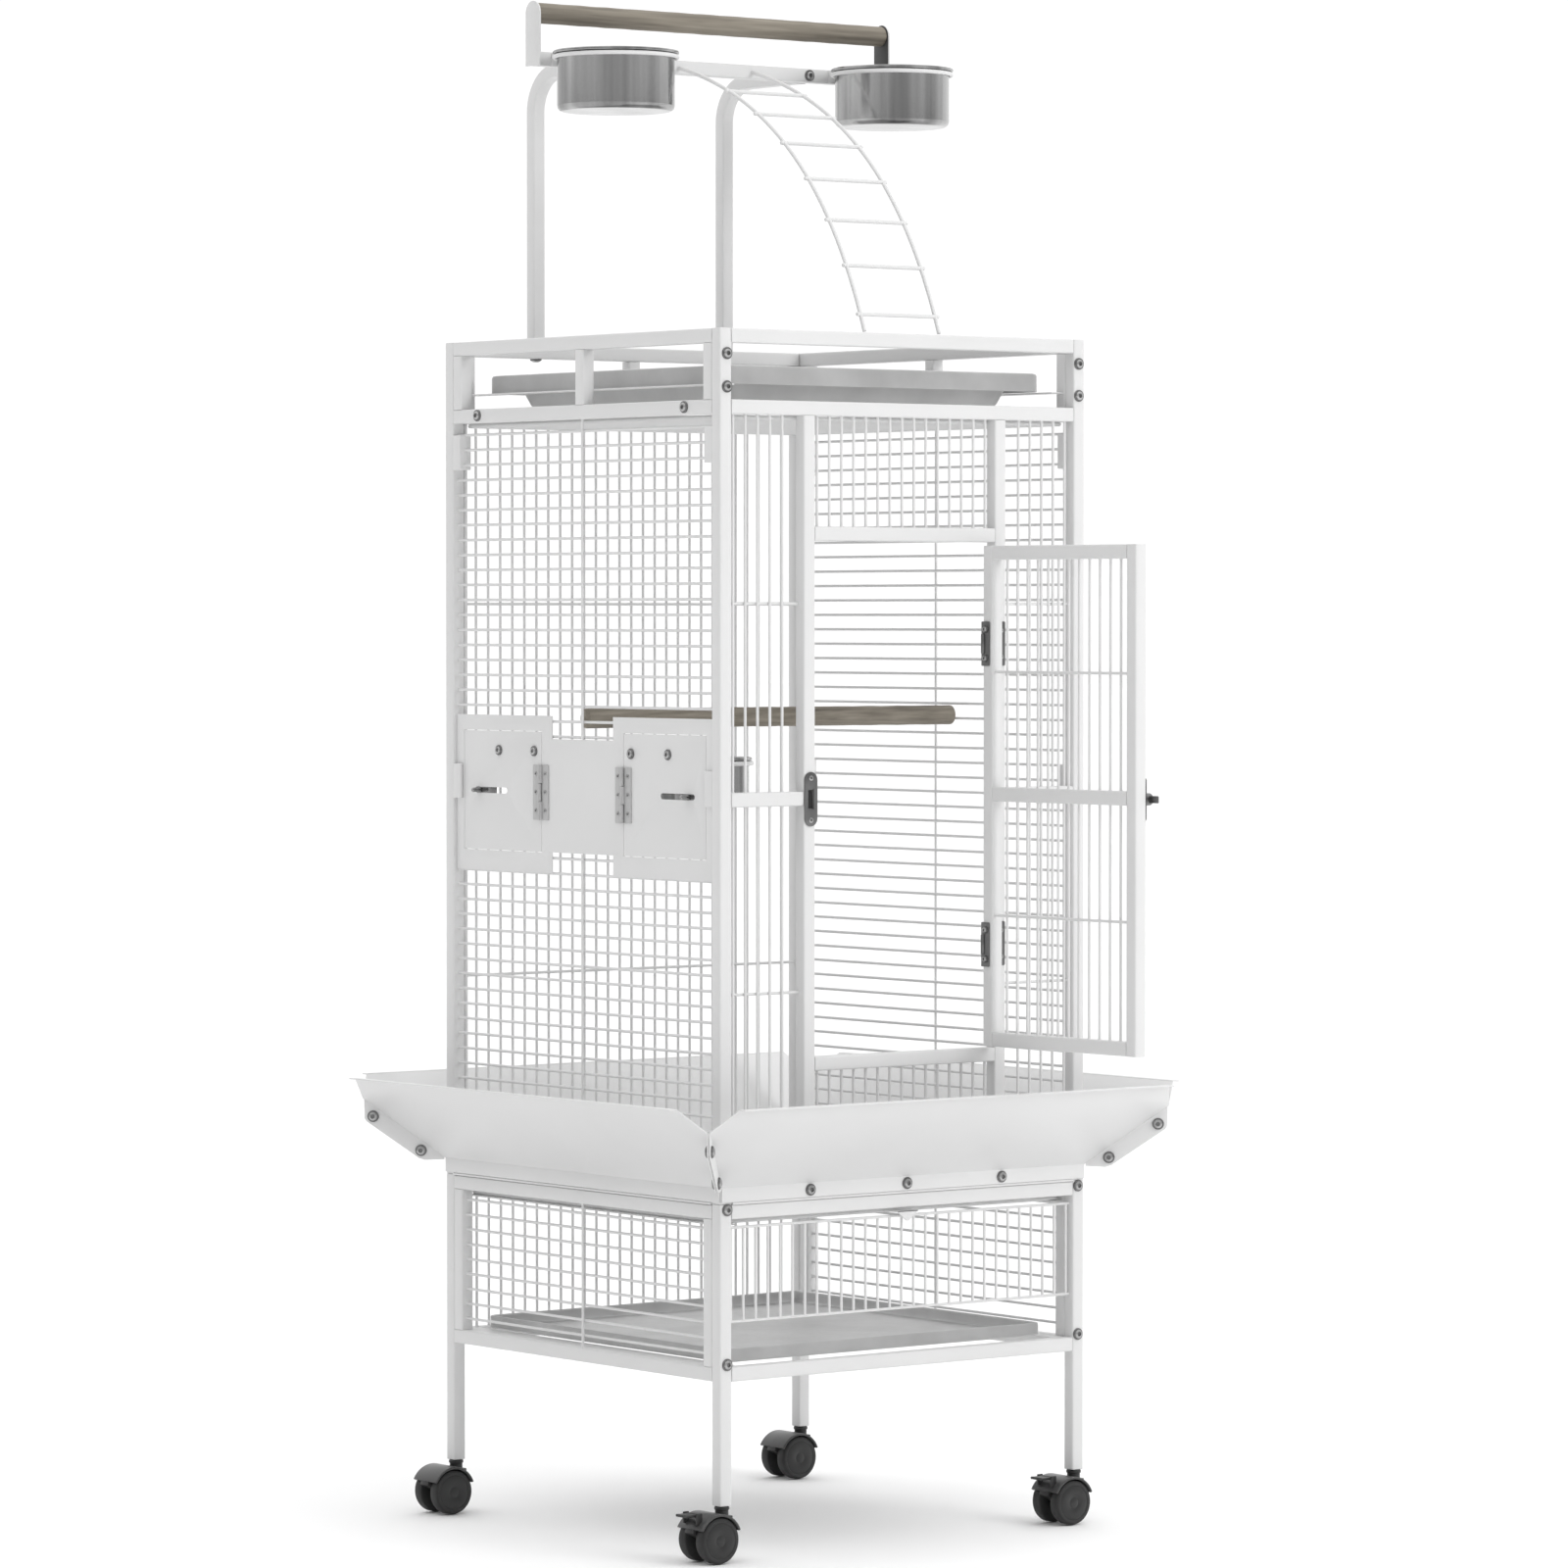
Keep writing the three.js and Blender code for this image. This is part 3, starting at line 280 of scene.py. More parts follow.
class Build:
    """One piece's mesh, collected in millimetres and finished as an object in the row frame."""

    def __init__(self, paint="powder", place=CAGE):
        self.mesh = bmesh.new()
        self.place = place
        self.paints = []
        self.paint(paint)

    def paint(self, name):
        if name not in self.paints:
            self.paints.append(name)
        self.index = self.paints.index(name)
        return self

    def loft(self, rings, wrap=False, last_cap=None):
        """Quads between rings of points, with flat caps at both ends unless it wraps."""
        rows = [[self.mesh.verts.new(p) for p in ring] for ring in rings]
        pairs = list(zip(rows, rows[1:]))
        if wrap:
            pairs.append((rows[-1], rows[0]))
        made = []
        for a, b in pairs:
            for i in range(len(a)):
                j = (i + 1) % len(a)
                made.append(self.mesh.faces.new((a[i], a[j], b[j], b[i])))
        if not wrap:
            made.append(self.mesh.faces.new(rows[0][::-1]))
            made.append(self.mesh.faces.new(rows[-1]))
        for face in made:
            face.material_index = self.index
        if last_cap:
            self.paint(last_cap)
            made[-1].material_index = self.index

    def beam(self, low, high, radius=1.8):
        """A square or flat tube that fills a box, with rounded long edges and eased ends."""
        corners = list(zip(low, high))
        low = Vector([min(c) for c in corners])
        high = Vector([max(c) for c in corners])
        size = high - low
        axis = max(range(3), key=lambda k: size[k])
        i, j = (axis + 1) % 3, (axis + 2) % 3
        radius = min(radius, size[i] / 2 - 0.05, size[j] / 2 - 0.05)
        ease = min(0.4, radius * 0.6)
        full = rounded(size[i], size[j], radius)
        eased = rounded(size[i] - 2 * ease, size[j] - 2 * ease, radius - ease / 2)
        rings = []
        for height, section in (
            (low[axis], eased),
            (low[axis] + ease, full),
            (high[axis] - ease, full),
            (high[axis], eased),
        ):
            ring = []
            for x, y in section:
                point = (low + high) / 2
                point[axis] = height
                point[i] += x
                point[j] += y
                ring.append(point)
            rings.append(ring)
        self.loft(rings)

    def rod(self, start, end, radius=WIRE, sides=10, weld=0.0):
        """A round bar. Its ends swell into a small weld where weld is given."""
        length = (Vector(end) - Vector(start)).length
        profile = [(radius, 0), (radius, length)]
        if weld:
            profile = [
                (radius + weld, 0),
                (radius, weld * 2),
                (radius, length - weld * 2),
                (radius + weld, length),
            ]
        self.turned(profile, start, Vector(end) - Vector(start), sides)

    def turned(self, profile, origin, axis, sides=32, last_cap=None):
        """A turned shape from (radius, distance along the axis) pairs."""
        first, second, along = basis(axis)
        origin = Vector(origin)
        rings = []
        for radius, height in profile:
            centre = origin + along * height
            rings.append([centre + first * x + second * y for x, y in circle(radius, sides)])
        self.loft(rings, last_cap=last_cap)

    def sweep(self, path, section, side, closed=False):
        """A section carried along a path that lies in the plane square to side."""
        path = [Vector(p) for p in path]
        rings = []
        for k, point in enumerate(path):
            before = path[k - 1] if k or closed else point
            after = path[(k + 1) % len(path)] if k + 1 < len(path) or closed else point
            up = (after - before).normalized().cross(side)
            rings.append([point + side * x + up * y for x, y in section])
        self.loft(rings, wrap=closed)

    def plate(self, outlines, thickness, origin, right=X_AXIS, up=Z_AXIS, ease=0.3):
        """A sheet cut to an outline, with holes, pushed towards right x up, with eased edges."""
        curve = bpy.data.curves.new("outline", "CURVE")
        curve.dimensions = "2D"
        curve.fill_mode = "BOTH"
        curve.extrude = thickness / 2 - ease
        curve.bevel_depth = ease
        curve.bevel_resolution = 1
        curve.offset = -ease
        for outline in outlines:
            spline = curve.splines.new("POLY")
            spline.points.add(len(outline) - 1)
            for point, (x, y) in zip(spline.points, outline):
                point.co = (x, y, 0, 1)
            spline.use_cyclic_u = True
        holder = bpy.data.objects.new("outline", curve)
        mesh = bpy.data.meshes.new_from_object(holder)
        out = right.cross(up)
        place = Matrix((right, up, out)).transposed().to_4x4()
        place.translation = Vector(origin) + out * thickness / 2
        part = bmesh.new()
        part.from_mesh(mesh)
        bmesh.ops.remove_doubles(part, verts=part.verts, dist=0.001)
        part.transform(place)
        for face in part.faces:
            face.material_index = self.index
        part.to_mesh(mesh)
        part.free()
        self.mesh.from_mesh(mesh)
        bpy.data.objects.remove(holder)
        bpy.data.curves.remove(curve)
        bpy.data.meshes.remove(mesh)

    def bolt(self, origin, normal, radius=5.9):
        """A domed cap screw in a dark flange, with a dark socket. The dark flange is painted shade
        for the shadow round the head, and the near-black floor of the socket is painted shade.
        """
        self.paint("dark_metal")
        flange = [(radius, 0), (radius, 1.2), (radius * 0.9, 1.9), (radius * 0.76, 1.9)]
        self.turned(flange, origin, normal, 20)
        self.paint("zinc")
        dome = [
            (radius * 0.76, 1.0),
            (radius * 0.76, 2.1),
            (radius * 0.66, 2.9),
            (radius * 0.42, 3.3),
            (radius * 0.38, 3.1),
            (radius * 0.34, 1.6),
        ]
        self.turned(dome, origin, normal, 20, last_cap="recess")

    def screw(self, origin, normal, radius=2.2):
        """A small countersunk screw head that stands hardly proud, with a near-black socket floor
        that is painted shade.
        """
        self.paint("zinc")
        profile = [
            (radius, 0),
            (radius, 0.25),
            (radius * 0.8, 0.5),
            (radius * 0.42, 0.55),
            (radius * 0.36, 0.2),
        ]
        self.turned(profile, origin, normal, 12, last_cap="recess")

    def finish(self, name, body, slot, *nodes):
        bmesh.ops.recalc_face_normals(self.mesh, faces=self.mesh.faces)
        self.mesh.transform(self.place)
        data = bpy.data.meshes.new(name)
        self.mesh.to_mesh(data)
        self.mesh.free()
        for name_of_paint in self.paints:
            data.materials.append(MATERIALS[name_of_paint])
        data.shade_smooth()
        data.set_sharp_from_angle(angle=math.radians(38))
        piece = bpy.data.objects.new(name, data)
        bpy.context.scene.collection.objects.link(piece)
        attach(piece, body)
        if nodes:
            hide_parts(*nodes)

    def fixed(self, name, *nodes):
        """Finishes a white piece that rides on the frame."""
        self.finish(name, "frame", "white_paint", *nodes)


# ---- Cage sides ----

SIDE_ROWS = spaced(1095.3, 1095.3 - 48 * PITCH)
WINDOW_EDGE = 65
PLATE_BOTTOM, PLATE_TOP, FLAP_TOP = 677, 790, 797
PLATE_NEAR, PLATE_FAR = 224.8, 226.1  # the feeder plate's two faces
UPPER_TAB, LOWER_TAB = 1060.3, 728  # undersides of the tabs beside the posts
TAB_HEIGHT = 35
TAB_REACH = 204  # how far a tab's free edge is from the middle of its side
WELD = 0.5  # how far a bar's end swells where it is welded
RUNNER_X, RUNNER_WIDTH, RUNNER_LENGTH = 208.5, 17, 428
TRAY_RUNNER, GRATE_RUNNER = 1136.7, 324.5  # top faces of the two upper pairs of runners


def side_row(build, sign, z, reach):
    build.rod((sign * MIDDLE, -reach, z), (sign * MIDDLE, reach, z), weld=WELD)


def side_stiffener(build, sign, low, high):
    x = sign * (MIDDLE + 2 * WIRE - 0.1)
    build.rod((x, 0, low), (x, 0, high), weld=WELD)


def runner(build, sign, top):
    """The flat rail that a tray or the grate slides on."""
    outline = rounded(RUNNER_LENGTH, RUNNER_WIDTH, 1.0)
    build.plate([outline], SHEET, (sign * RUNNER_X, 0, top - SHEET), Y_AXIS, -X_AXIS)


def side_tubes(sign, spans):
    tubes = Build()
    for y0, y1, z0, z1 in spans:
        tubes.beam((sign * INNER, y0, z0), (sign * HALF, y1, z1))
    return tubes


def cage_side(side, sign):
    has_feeder = sign < 0
    spans = (
        (-HALF, -INNER, POST_SPLIT + GAP, CAGE_TOP),
        (INNER, HALF, POST_SPLIT + GAP, CAGE_TOP),
        (-INNER, INNER, CAGE_TOP - TUBE, CAGE_TOP),
        (-INNER, INNER, BOX_FLOOR - TUBE, BOX_FLOOR),
        (-INNER, INNER, SEAM_TOP, SEAM_TOP + TUBE),
        (-TUBE / 2, TUBE / 2, BOX_FLOOR, CAGE_TOP - TUBE),
        (-INNER, -INNER + TUBE, BOX_FLOOR, CAGE_TOP - TUBE),
        (INNER - TUBE, INNER, BOX_FLOOR, CAGE_TOP - TUBE),
    )
    tubes = side_tubes(sign, spans)
    runner(tubes, sign, TRAY_RUNNER)
    for end in (-1, 1):
        for z in (UPPER_TAB, LOWER_TAB):
            back = PLATE_FAR + GAP if has_feeder and z == LOWER_TAB else INNER
            near, far = end * TAB_REACH, end * (INNER + 1)
            tubes.beam((sign * back, near, z), (sign * HALF, far, z + TAB_HEIGHT), 1.2)
    tubes.fixed(f"{side}_side_frame", f"{side}_cage_side")
    bars = Build()
    for z in SIDE_ROWS:
        in_window = has_feeder and PLATE_BOTTOM < z < FLAP_TOP
        side_row(bars, sign, z, WINDOW_EDGE if in_window else INNER)
    if has_feeder:
        below = max(z for z in SIDE_ROWS if z < PLATE_BOTTOM)
        above = min(z for z in SIDE_ROWS if z > FLAP_TOP)
        for y in (-WINDOW_EDGE, WINDOW_EDGE):
            bars.rod((sign * MIDDLE, y, below), (sign * MIDDLE, y, above))
        side_stiffener(bars, sign, SEAM_TOP + TUBE, PLATE_BOTTOM - 0.6)
        side_stiffener(bars, sign, PLATE_TOP + 0.6, BOX_FLOOR - TUBE)
    else:
        side_stiffener(bars, sign, SEAM_TOP + TUBE, BOX_FLOOR - TUBE)
    bars.fixed(f"{side}_side_bars")


def stand_side(side, sign):
    spans = (
        (-HALF, -INNER, LEG_BOTTOM, POST_SPLIT),
        (INNER, HALF, LEG_BOTTOM, POST_SPLIT),
        (-INNER, INNER, SEAM_BOTTOM - TUBE, SEAM_BOTTOM),
        (-INNER, INNER, STAND_RAIL - TUBE, STAND_RAIL),
        (-INNER, -INNER + TUBE, STAND_RAIL, SEAM_BOTTOM - TUBE),
        (INNER - TUBE, INNER, STAND_RAIL, SEAM_BOTTOM - TUBE),
    )
    tubes = side_tubes(sign, spans)
    runner(tubes, sign, GRATE_RUNNER)
    runner(tubes, sign, STAND_RAIL)
    tubes.fixed(f"{side}_stand_frame", f"{side}_stand_side")
    bars = Build()
    for z in spaced(320.2, 320.2 - 8 * PITCH):
        side_row(bars, sign, z, INNER - TUBE)
    side_stiffener(bars, sign, STAND_RAIL, SEAM_BOTTOM - TUBE)
    bars.fixed(f"{side}_stand_bars")


for side, sign in SIDES:
    cage_side(side, sign)
    stand_side(side, sign)

# ---- Front and back panels ----

REACH = INNER - GAP
PANEL_BOTTOM = SEAM_TOP + TUBE
PANEL_TOP = BOX_FLOOR - TUBE
CROSS_ROWS = (924.5, 546.6)
JAMB_IN, JAMB_OUT = 113.5, 127.5
SILL_TOP, LINTEL, MID_TOP = 483.5, 985.5, 742
STRIP_COLUMNS = (149.2, 209.5)  # first and last bar beside the door
BACK_EDGE = 4  # width of the flat edge strip of the back panel
GUARD_LOW, GUARD_HIGH = 230.8, 322
SEAM_EDGE = 230.2  # how far out the rolled edge lies
FRONT_RAIL_BOTTOM = 330.5
BACK_COLUMNS = spaced(-13 * PITCH, 13 * PITCH)


def panel_tube(build, end, x0, x1, z0, z1):
    build.beam((x0, end * INNER, z0), (x1, end * HALF, z1))


def panel_bars(build, end, columns, z0, z1):
    for x in columns:
        build.rod((x, end * MIDDLE, z0), (x, end * MIDDLE, z1), weld=WELD)


def cross_bar(build, end, x0, x1, z):
    y = end * (MIDDLE - 2 * WIRE + 0.1)
    build.rod((x0, y, z), (x1, y, z), weld=WELD)


def front_panel():
    end = -1
    tubes, bars = Build(), Build()
    panel_tube(tubes, end, -REACH, REACH, BOX_FLOOR - TUBE, BOX_FLOOR)
    panel_tube(tubes, end, -REACH, REACH, SEAM_TOP, PANEL_BOTTOM)
    panel_tube(tubes, end, -JAMB_IN, JAMB_IN, SILL_TOP - TUBE, SILL_TOP)
    panel_tube(tubes, end, -JAMB_IN, JAMB_IN, LINTEL, LINTEL + TUBE)
    door_columns = spaced(-7 * PITCH, 7 * PITCH)
    panel_bars(bars, end, door_columns, PANEL_BOTTOM, SILL_TOP - TUBE)
    panel_bars(bars, end, door_columns, LINTEL + TUBE, PANEL_TOP)
    for _, sign in SIDES:
        panel_tube(tubes, end, sign * JAMB_IN, sign * JAMB_OUT, PANEL_BOTTOM, PANEL_TOP)
        panel_tube(tubes, end, sign * JAMB_OUT, sign * REACH, MID_TOP - TUBE, MID_TOP)
        columns = [sign * x for x in spaced(*STRIP_COLUMNS)]
        panel_bars(bars, end, columns, PANEL_BOTTOM, MID_TOP - TUBE)
        panel_bars(bars, end, columns, MID_TOP, PANEL_TOP)
        for z in CROSS_ROWS:
            cross_bar(bars, end, sign * JAMB_OUT, sign * REACH, z)
    tubes.fixed("front_panel_frame", "front_panel")
    bars.fixed("front_panel_bars")


def back_panel():
    end = 1
    tubes, bars = Build(), Build()
    box_top = CAGE_TOP - TUBE - GAP
    panel_tube(tubes, end, -REACH, REACH, BOX_FLOOR - TUBE, BOX_FLOOR)
    panel_tube(tubes, end, -REACH, REACH, SEAM_TOP, PANEL_BOTTOM)
    panel_tube(tubes, end, -TUBE / 2, TUBE / 2, BOX_FLOOR, box_top)
    for _, sign in SIDES:
        panel_tube(tubes, end, sign * (INNER - TUBE), sign * REACH, BOX_FLOOR, box_top)
        edge = sign * (REACH - BACK_EDGE)
        panel_tube(tubes, end, edge, sign * REACH, PANEL_BOTTOM, PANEL_TOP)
    panel_bars(bars, end, BACK_COLUMNS, PANEL_BOTTOM, PANEL_TOP)
    for z in CROSS_ROWS:
        cross_bar(bars, end, BACK_EDGE - REACH, REACH - BACK_EDGE, z)
    tubes.fixed("back_panel_frame", "back_panel")
    bars.fixed("back_panel_bars")


def stand_panels():
    tubes, bars = Build(), Build()
    panel_tube(tubes, 1, -REACH, REACH, SEAM_BOTTOM - TUBE, SEAM_BOTTOM)
    panel_tube(tubes, 1, -REACH, REACH, STAND_RAIL - TUBE, STAND_RAIL)
    panel_bars(bars, 1, BACK_COLUMNS, STAND_RAIL, SEAM_BOTTOM - TUBE)
    tubes.fixed("stand_back_frame", "stand_back_panel")
    bars.fixed("stand_back_bars")
    guard = Build()
    for z in (GUARD_HIGH, GUARD_LOW):
        guard.rod((-REACH, -MIDDLE, z), (REACH, -MIDDLE, z), weld=WELD)
    for x in spaced(-14 * PITCH, 14 * PITCH):
        guard.rod((x, -MIDDLE, GUARD_LOW), (x, -MIDDLE, GUARD_HIGH))
    guard.fixed("stand_guard_bars", "stand_front_guard")


def seam_edges():
    """The rolled upper edge of the stand, which shows as a light line under the apron."""
    edges = Build()
    z = (SEAM_TOP + SEAM_BOTTOM) / 2
    for out in (-SEAM_EDGE, SEAM_EDGE):
        edges.rod((-REACH, out, z), (REACH, out, z), 1.3, 12)
        edges.rod((out, -REACH, z), (out, REACH, z), 1.3, 12)
    edges.fixed("stand_upper_edges")


def single_rails():
    for name, end, bottom in (
        ("front_top_rail", -1, CAGE_TOP - TUBE),
        ("back_top_rail", 1, CAGE_TOP - TUBE),
        ("stand_front_rail", -1, FRONT_RAIL_BOTTOM),
        ("stand_bottom_front_rail", -1, STAND_RAIL - TUBE),
    ):
        rail = Build()
        panel_tube(rail, end, -REACH, REACH, bottom, bottom + TUBE)
        rail.fixed(f"{name}_tube", name)


front_panel()
back_panel()
stand_panels()
seam_edges()
single_rails()

# ---- Roof grille and floor grate ----


def grille(half, z):
    """Round bars that run front to back inside a frame of thicker bar."""
    build = Build()
    edge = half - GRILLE_EDGE
    path = [(x, y, z) for x, y in rounded(2 * edge, 2 * edge, GRILLE_CORNER, 4)]
    build.sweep(path, circle(GRILLE_EDGE, 10), Z_AXIS, closed=True)
    for x in BACK_COLUMNS:
        build.rod((x, -edge, z), (x, edge, z), weld=WELD)
    return build


GRILLE_EDGE = 2  # radius of the bar round the edge
GRILLE_CORNER = 6
roof = grille(REACH, BOX_FLOOR - TUBE - GRILLE_EDGE - GAP)
roof.fixed("roof_grille_bars", "roof_grille")

GRATE_Z = 326.8
GRATE_HALF = 213
PULL_HALF = 14  # half the width of the grate's pull
grate = grille(GRATE_HALF, GRATE_Z)
tongue_top = GRATE_Z + SHEET / 2
tongue_place = (0, -222.5, tongue_top - SHEET)
grate.plate([rounded(2 * PULL_HALF, 21, 1.2)], SHEET, tongue_place, X_AXIS, Y_AXIS)
pull = [
    (-PULL_HALF, tongue_top),
    (-1.5, tongue_top - 10),
    (1.5, tongue_top - 10),
    (PULL_HALF, tongue_top),
]
grate.plate([pull], SHEET, (0, -HALF - 3 + SHEET, 0))
grate.finish("floor_grate_bars", "floor_grate", "white_paint", "floor_grate")

# ---- Trays ----


def pressed_tray(name, stations):
    """A sheet pressed over a square, from its underside out to the rim and back in over the top.

    Each station is half the width, the corner radius and the height.
    """
    build = Build("tray")
    rings = []
    for half, radius, z in stations:
        rings.append([(x, y, z) for x, y in rounded(2 * half, 2 * half, radius, 6)])
    build.loft(rings)
    build.finish(f"{name}_pan", name, "tray_paint", name)


TOP_TRAY = (
    (168, 18, 1122.0),
    (171.5, 20, 1122.9),
    (173.5, 21, 1125.5),
    (184.5, 24, 1151.0),
    (186.5, 25, 1153.6),
    (189, 25, 1154.2),
    (197, 14, 1154.2),
    (198.5, 12.5, 1152.6),
    (198.5, 12.5, 1137.4),
    (198.9, 13, 1137.0),
    (199.6, 13.6, 1137.0),
    (200, 14, 1137.4),
    (200, 14, 1152.8),
    (199.2, 14, 1154.8),
    (197.2, 14, 1155.5),
    (188.8, 24, 1155.5),
    (185.6, 24, 1154.6),
    (183, 23, 1151.8),
    (172.2, 20, 1126.4),
    (170, 19, 1124.2),
    (166.5, 17, 1123.5),
)
BOTTOM_TRAY = (
    (196, 6, 187.7),
    (198.6, 7, 188.1),
    (200, 8, 189.6),
    (200, 8, 199.6),
    (199.4, 8, 200.8),
    (198.3, 7.4, 201.0),
    (197.4, 7, 200.4),
    (197.0, 6.6, 199.4),
    (196.4, 6.4, 191.4),
    (195, 6, 189.8),
    (192.5, 5, 189.2),
)
pressed_tray("top_tray", TOP_TRAY)
pressed_tray("bottom_tray", BOTTOM_TRAY)

# ---- Seed apron ----

FOLD_Z = 362  # where the slope leaves the upright flange
APRON_REACH = 83
APRON_RISE = 82
LIP = 8.2  # width of the level lip along the outer edge
TOP_HALF = 270.7  # half the length of the upper edge
CORNER_REACH = 60.3  # how far out the mitre runs before the corner is cut off
APRON_FACE = -HALF - GAP  # the flange's inner face
FLANGE_BOLTS = (-121, 0, 121)
FLANGE_BOLT_Z = 354.5
CORNER_BOLTS = ((75, 402.6), (25.5, 368.4))  # distance out from the post, and height
DIAGONAL = math.sqrt(0.5)


def apron_place(quarter):
    return CAGE @ Matrix.Rotation(math.radians(90 * quarter), 4, "Z")


def apron_sheet(side, quarter):
    build = Build(place=apron_place(quarter))
    slope_length = math.hypot(APRON_REACH, APRON_RISE)
    corner = HALF + CORNER_REACH - GAP
    cut = CORNER_REACH * slope_length / APRON_REACH
    outline = [
        (-HALF + GAP, 0),
        (HALF - GAP, 0),
        (corner, cut),
        (TOP_HALF, slope_length),
        (-TOP_HALF, slope_length),
        (-corner, cut),
    ]
    up = Vector((0, -APRON_REACH, APRON_RISE)) / slope_length
    build.plate([outline], SHEET, (0, APRON_FACE, FOLD_Z), X_AXIS, up)
    lip = [(-TOP_HALF, -0.6), (TOP_HALF, -0.6), (TOP_HALF, LIP), (-TOP_HALF, LIP)]
    lip_place = (0, APRON_FACE - APRON_REACH, FOLD_Z + APRON_RISE)
    build.plate([lip], SHEET, lip_place, X_AXIS, -Y_AXIS, ease=0.45)
    end = HALF - 1
    flange = [(-end, SEAM_TOP), (end, SEAM_TOP), (end, FOLD_Z + 0.5), (-end, FOLD_Z + 0.5)]
    build.plate([flange], SHEET, (0, APRON_FACE, 0))
    fold_y = APRON_FACE - SHEET / 2
    build.rod((-end, fold_y, FOLD_Z), (end, fold_y, FOLD_Z), 0.72, 12)
    rate = APRON_RISE / APRON_REACH * DIAGONAL
    for _, sign in SIDES:
        away = Vector((sign * DIAGONAL, -DIAGONAL, 0))
        shape = [
            (2, 359.5),
            (22, 358.6),
            (28, 360.6),
            (82, 397.4),
            (84, 400.5),
            (84.5, FOLD_Z - 0.6 + 84.5 * rate),
            (2, FOLD_Z - 0.6 + 2 * rate),
        ]
        inset = GAP + (SHEET if sign < 0 else 0)
        origin = (sign * (HALF - inset * DIAGONAL), -HALF - inset * DIAGONAL, 0)
        build.plate([shape], SHEET, origin, away, Z_AXIS)
    build.fixed(f"{side}_apron_sheet", f"{side}_apron")


def apron_bolts(side, quarter):
    build = Build("zinc", apron_place(quarter))
    if side in ("front", "back"):
        for x in FLANGE_BOLTS:
            build.bolt((x, APRON_FACE - SHEET, FLANGE_BOLT_Z), -Y_AXIS)
    for out, z in CORNER_BOLTS:
        corner = HALF + out * DIAGONAL
        square = Vector((DIAGONAL, DIAGONAL, 0))
        for way in (-1, 1):
            place = Vector((corner, -corner, z)) + square * way * (GAP + SHEET)
            build.bolt(place, square * way)
    build.finish(f"{side}_apron_bolts", "frame", "dark_metal")


for quarter, side in enumerate(("front", "right", "back", "left")):
    apron_sheet(side, quarter)
    apron_bolts(side, quarter)

# ---- Play top ----

ARCH_X = 121.5
BAR_FRONT, BAR_BACK, BAR_BOTTOM = 79, 93, 1461
BAR_TOP = BAR_BOTTOM + TUBE
BAR_MIDDLE = (BAR_FRONT + BAR_BACK) / 2
PERCH_Z = 1513.7
BEND = 40.5  # radius of the arches at the middle of the tube
BRACKET_ROUND = 12  # radius of a perch bracket's top
PERCH_RADIUS, CAGE_PERCH_RADIUS = 10.5, 10


def arch(side, sign):
    x = sign * ARCH_X
    build = Build()
    axis_z = BAR_TOP - 0.5 - TUBE / 2
    centre_y, centre_z = MIDDLE - BEND, axis_z - BEND
    path = [(x, MIDDLE, CAGE_TOP + GAP), (x, MIDDLE, CAGE_TOP + 0.8)]
    path += [(x, y, z) for y, z in arc(centre_y, centre_z, BEND, 0, 90, 14)]
    path += [(x, BAR_BACK + 0.8, axis_z), (x, BAR_BACK + GAP, axis_z)]
    build.sweep(path, rounded(TUBE, TUBE, 1.8), X_AXIS)
    build.fixed(f"{side}_arch_tube", f"{side}_arch")


def perch_bracket(side, sign):
    """A flat plate on the crossbar's end. The right one has a grey inner face."""
    build = Build()
    outline = [(BAR_MIDDLE + BRACKET_ROUND, BAR_BOTTOM)]
    outline += arc(BAR_MIDDLE, PERCH_Z, BRACKET_ROUND, 0, 180, 12)
    outline += [(BAR_MIDDLE - BRACKET_ROUND, BAR_BOTTOM)]
    x = 222 if sign > 0 else -224
    build.plate([outline], 2, (x, 0, 0), Y_AXIS, Z_AXIS, ease=0.4)
    if sign > 0:
        lining = [(y * 0.97 + BAR_MIDDLE * 0.03, z - 0.3) for y, z in outline]
        build.paint("bracket")
        build.plate([lining], 0.24, (221.8, 0, 0), Y_AXIS, Z_AXIS, ease=0.05)
    build.fixed(f"{side}_bracket_plate", f"{side}_perch_bracket")


def dowel(name, half, left_y, right_y, z, radius):
    """A turned perch with eased ends and a slightly uneven surface."""
    build = Build("wood")
    start, end = Vector((-half, left_y, z)), Vector((half, right_y, z))
    ease = [(radius - 1.4, 0), (radius - 0.4, 0.5), (radius - 0.1, 1.6)]
    length = (end - start).length
    steps = 40
    profile = list(ease)
    for k in range(1, steps):
        wander = 0.12 * math.sin(k * 1.7) + 0.08 * math.sin(k * 4.1)
        profile.append((radius - 0.2 + wander, length * k / steps))
    profile += [(r, length - along) for r, along in reversed(ease)]
    build.turned(profile, start, end - start, 28)
    build.finish(f"{name}_dowel", "frame", "wood", name)


for side, sign in SIDES:
    arch(side, sign)
    perch_bracket(side, sign)
CROSSBAR_HALF = 221.7
crossbar = Build()
crossbar.beam((-CROSSBAR_HALF, BAR_FRONT, BAR_BOTTOM), (CROSSBAR_HALF, BAR_BACK, BAR_TOP))
crossbar.fixed("crossbar_tube", "crossbar")
dowel("top_perch", CROSSBAR_HALF, BAR_MIDDLE, BAR_MIDDLE, PERCH_Z, PERCH_RADIUS)
dowel("cage_perch", 219.8, 3.6, -31, 811, CAGE_PERCH_RADIUS)

# ---- Cups, their rings and the ladder ----


CUP_X, CUP_Y, CUP_TOP = 176, 11, 1473
FEEDER_CUP_X, FEEDER_CUP_Y, FEEDER_CUP_TOP = -160, 111, 774
BEAD = 1.7  # radius of a cup's rolled rim
FOOT = 6  # radius round a cup's foot
CUP_WALL = 0.9


